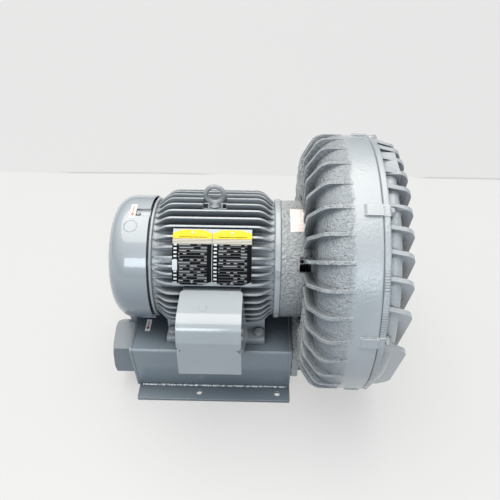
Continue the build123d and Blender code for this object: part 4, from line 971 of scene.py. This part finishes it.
# %% [markdown]
# Four bolts hold the motor's feet. One is modelled and then copied to its places, each copy
# with its own mesh, and the copies are joined to one piece. An instance would be lighter, but
# the export wants a mesh for each. No two heads are turned alike, as no two are tightened to
# the same angle.

# %% Motor foot bolts
FOOT_REACH_X, FOOT_REACH_Y = 0.085, 0.098
FOOT_BOLT_SEAT = 0.1446
FOOT_BOLT_R, FOOT_BOLT_LENGTH = 0.005, 0.026
FOOT_TURN_STEP = 17


def copies(piece, places):
    """Copy a piece to other places, each with its own mesh, and join them to one object."""
    made = []
    for place in places:
        twin = piece.copy()
        twin.data = piece.data.copy()
        twin.data.transform(place)
        bpy.context.collection.objects.link(twin)
        made.append(twin)
    bpy.data.objects.remove(piece)
    only(made[0])
    for twin in made[1:]:
        twin.select_set(True)
    bpy.ops.object.join()
    return bpy.context.object


corners = [(sx, sy) for sx in (-1, 1) for sy in (-1, 1)]
places = []
for number, (sx, sy) in enumerate(corners):
    spot = (FRAME_MIDDLE_X + sx * FOOT_REACH_X, sy * FOOT_REACH_Y, FOOT_BOLT_SEAT)
    turn = Matrix.Rotation(radians(FOOT_TURN_STEP * number), 4, "Z")
    places.append(Matrix.Translation(spot) @ turn)
settle(copies(hex_bolt(FOOT_BOLT_R, FOOT_BOLT_LENGTH), places), "hex_foot_bolts", "casing",
       "painted_hardware", ["motor_foot_bolts"])

# %% [markdown]
# Seven bolts clamp the cover to the housing, one in each lug. They lie along the shaft, so
# the upright bolt is first laid over and then carried round the rim to its lug.

# %% Cover bolts
LUGS = 7
FIRST_LUG = 7.2
COVER_BOLT_SEAT = 0.2477
COVER_BOLT_CIRCLE_R = 0.2412
COVER_BOLT_R, COVER_BOLT_LENGTH = 0.004, 0.032
COVER_TURN_STEP = 23

lay_over = Matrix.Rotation(pi / 2, 4, "Y")
places = []
for number in range(LUGS):
    angle = radians(FIRST_LUG + 360 * number / LUGS)
    spot = (COVER_BOLT_SEAT, -COVER_BOLT_CIRCLE_R * cos(angle),
            RIM_Z + COVER_BOLT_CIRCLE_R * sin(angle))
    turn = Matrix.Rotation(radians(COVER_TURN_STEP * number), 4, "X")
    places.append(Matrix.Translation(spot) @ turn @ lay_over)
settle(copies(hex_bolt(COVER_BOLT_R, COVER_BOLT_LENGTH), places), "hex_cover_bolts", "casing",
       "painted_hardware", ["cover_bolts"])

# %% [markdown]
# ## The weld beads
# The silencer's walls are welded to the foot flanges. A hand weld is a row of overlapping
# ripples, each a few millimetres long. A wavy tube could stand for it, but real ripples are
# separate drops, laid one over another. One ripple is a flattened ball of a few dozen faces,
# and copies of it, turned and sized a little unevenly, make the two beads.

# %% Weld ripples
BEAD_START, BEAD_END = -0.2015, 0.1010
BEAD_Y, BEAD_Z = 0.1222, 0.0072
RIPPLE_R, RIPPLE_PITCH = 0.0030, 0.0036
RIPPLE_SHAPE = (0.95, 0.92, 0.82)
RIPPLE_TURN = 0.5
SWING = 0.0003

bpy.ops.object.select_all(action="DESELECT")
bpy.ops.mesh.primitive_uv_sphere_add(segments=10, ring_count=6, radius=RIPPLE_R)
ripple = bpy.context.object
bpy.ops.object.mode_set(mode="EDIT")
bpy.ops.mesh.select_all(action="SELECT")
bpy.ops.transform.resize(value=RIPPLE_SHAPE)
bpy.ops.object.mode_set(mode="OBJECT")

places = []
for side in (-1, 1):
    for k in range(int((BEAD_END - BEAD_START) / RIPPLE_PITCH)):
        across = side * (BEAD_Y + sin(2.7 * k) * SWING)
        spot = (BEAD_START + (k + 0.5) * RIPPLE_PITCH, across, BEAD_Z)
        size = 0.95 + 0.10 * sin(1.9 * k + side)
        places.append(Matrix.Translation(spot) @ Matrix.Rotation(side * RIPPLE_TURN, 4, "Z")
                      @ Matrix.Scale(size, 4))
settle(copies(ripple, places), "weld_ripples", "casing", "painted_hardware", ["weld_beads"],
       weld_paint, ROUND_ANGLE)

# %% [markdown]
# ## Threads in the pipe couplings
# Each coupling has a pipe thread in its mouth. A screw modifier could wind a true helix, but
# its ends stay open and pinch. At this pitch plain ridges look the same: a ring is extruded
# into the mouth and drawn in and out, turn by turn, and the last ring goes back to the mouth
# outside the ridges. Then the skin is closed: a bridge joins the first ring to the last, and
# all faces are turned outwards, because a ring has no outside of its own.

# %% Close a skin
MERGE_DISTANCE = 0.00001


def close_skin():
    """In edit mode, merge doubles, bridge the open rings and turn the faces outwards."""
    bpy.ops.mesh.select_all(action="SELECT")
    bpy.ops.mesh.remove_doubles(threshold=MERGE_DISTANCE)
    bpy.ops.mesh.select_all(action="DESELECT")
    bpy.ops.mesh.select_non_manifold()
    bpy.ops.mesh.bridge_edge_loops()
    bpy.ops.mesh.select_all(action="SELECT")
    bpy.ops.mesh.normals_make_consistent(inside=False)


print("helper ready: close_skin")

# %% [markdown]
# Both mouths have the same thread, at equal distances on either side of the shaft. The ridges
# are small, so their edges are only smoothed where they are nearly flat.

# %% Pipe threads
PORT_Y, PORT_Z = 0.074, 0.076
MOUTH_R = 0.0364
THREAD_START, THREAD_PITCH, THREAD_TURNS = -0.2470, 0.0024, 12
CREST = 0.965
LIP, LIP_FLARE = 0.0002, 1.004
THREAD_ANGLE = 20


def extrude(along):
    """Extrude what is selected along the shaft."""
    bpy.ops.mesh.extrude_region_move(TRANSFORM_OT_translate={"value": (along, 0, 0)})


def thread_ridges(side):
    """Ridges in the mouth of one coupling: side is -1 or 1."""
    middle = Vector((THREAD_START, side * PORT_Y, PORT_Z))
    bpy.ops.object.select_all(action="DESELECT")
    bpy.ops.mesh.primitive_circle_add(vertices=64, radius=MOUTH_R, fill_type="NOTHING",
                                      location=middle, rotation=(0, pi / 2, 0))
    bpy.ops.object.mode_set(mode="EDIT")
    bpy.ops.mesh.select_all(action="SELECT")
    for size in (CREST, 1 / CREST) * THREAD_TURNS:
        extrude(THREAD_PITCH / 2)
        bpy.ops.transform.resize(value=(1, size, size), center_override=middle)
    extrude(LIP)
    bpy.ops.transform.resize(value=(1, LIP_FLARE, LIP_FLARE), center_override=middle)
    extrude(-THREAD_PITCH * THREAD_TURNS - LIP)
    close_skin()
    bpy.ops.object.mode_set(mode="OBJECT")
    return bpy.context.object


for side, name in ((-1, "outlet_thread"), (1, "inlet_thread")):
    settle(thread_ridges(side), name, "casing", "grey_paint_dark", angle=THREAD_ANGLE)

# %% [markdown]
# ## Pressed marks in the sheet metal
# A blank round mark is pressed into the fan cover beside its screw, and a smaller one into the
# lid of the terminal box. A die leaves a thin ring that stands a little proud of the sheet. A
# bump could draw it, but it shows in outline against the light, so it is a torus that is
# flattened and sunk into the surface.

# %% A pressed ring
RING_FLATNESS = 0.55


def pressed_ring(radius, thickness, place):
    """Flattened ring at a place, which is a matrix."""
    bpy.ops.object.select_all(action="DESELECT")
    bpy.ops.mesh.primitive_torus_add(major_radius=radius, minor_radius=thickness,
                                     major_segments=56, minor_segments=10)
    ring = bpy.context.object
    bpy.ops.object.mode_set(mode="EDIT")
    bpy.ops.mesh.select_all(action="SELECT")
    bpy.ops.transform.resize(value=(1, 1, RING_FLATNESS))
    bpy.ops.object.mode_set(mode="OBJECT")
    ring.data.transform(place)
    return ring


print("helper ready: pressed_ring")

# %% [markdown]
# The fan cover is round, so its ring has to bend with the sheet. Each corner of the mesh
# keeps its height over the flat ring, and is moved towards or away from the shaft until it
# has that height over the round cover. A shrinkwrap would flatten the ring onto the sheet.

# %% Mark on the fan cover
MARK_X = -0.1950
MARK_ANGLE = radians(65.7)
COVER_RING_R, COVER_RING_THICKNESS = 0.0118, 0.0009

outwards = Vector((0, -cos(MARK_ANGLE), sin(MARK_ANGLE)))
spot = Vector((MARK_X, 0, SHAFT_Z)) + COVER_FACE_R * outwards
lean = Matrix.Rotation(pi / 2 - MARK_ANGLE, 4, "X")
mark = pressed_ring(COVER_RING_R, COVER_RING_THICKNESS, Matrix.Translation(spot) @ lean)
for corner in mark.data.vertices:
    reach = Vector((0, corner.co.y, corner.co.z - SHAFT_Z))
    rise = (corner.co - spot).dot(outwards)
    corner.co += reach.normalized() * (COVER_FACE_R + rise - reach.length)
settle(mark, "fan_cover_mark", "casing", "grey_paint", angle=ROUND_ANGLE)

# %% [markdown]
# The ring on the lid lies on a flat sheet, so it only has to be put in its place.

# %% Mark on the lid
LID_MARK_PLACE = (-0.0565, -0.1800, 0.2910)
LID_RING_R, LID_RING_THICKNESS = 0.0075, 0.0007

lid_mark = pressed_ring(LID_RING_R, LID_RING_THICKNESS, Matrix.Translation(LID_MARK_PLACE))
settle(lid_mark, "lid_mark", "casing", "grey_paint", angle=ROUND_ANGLE)
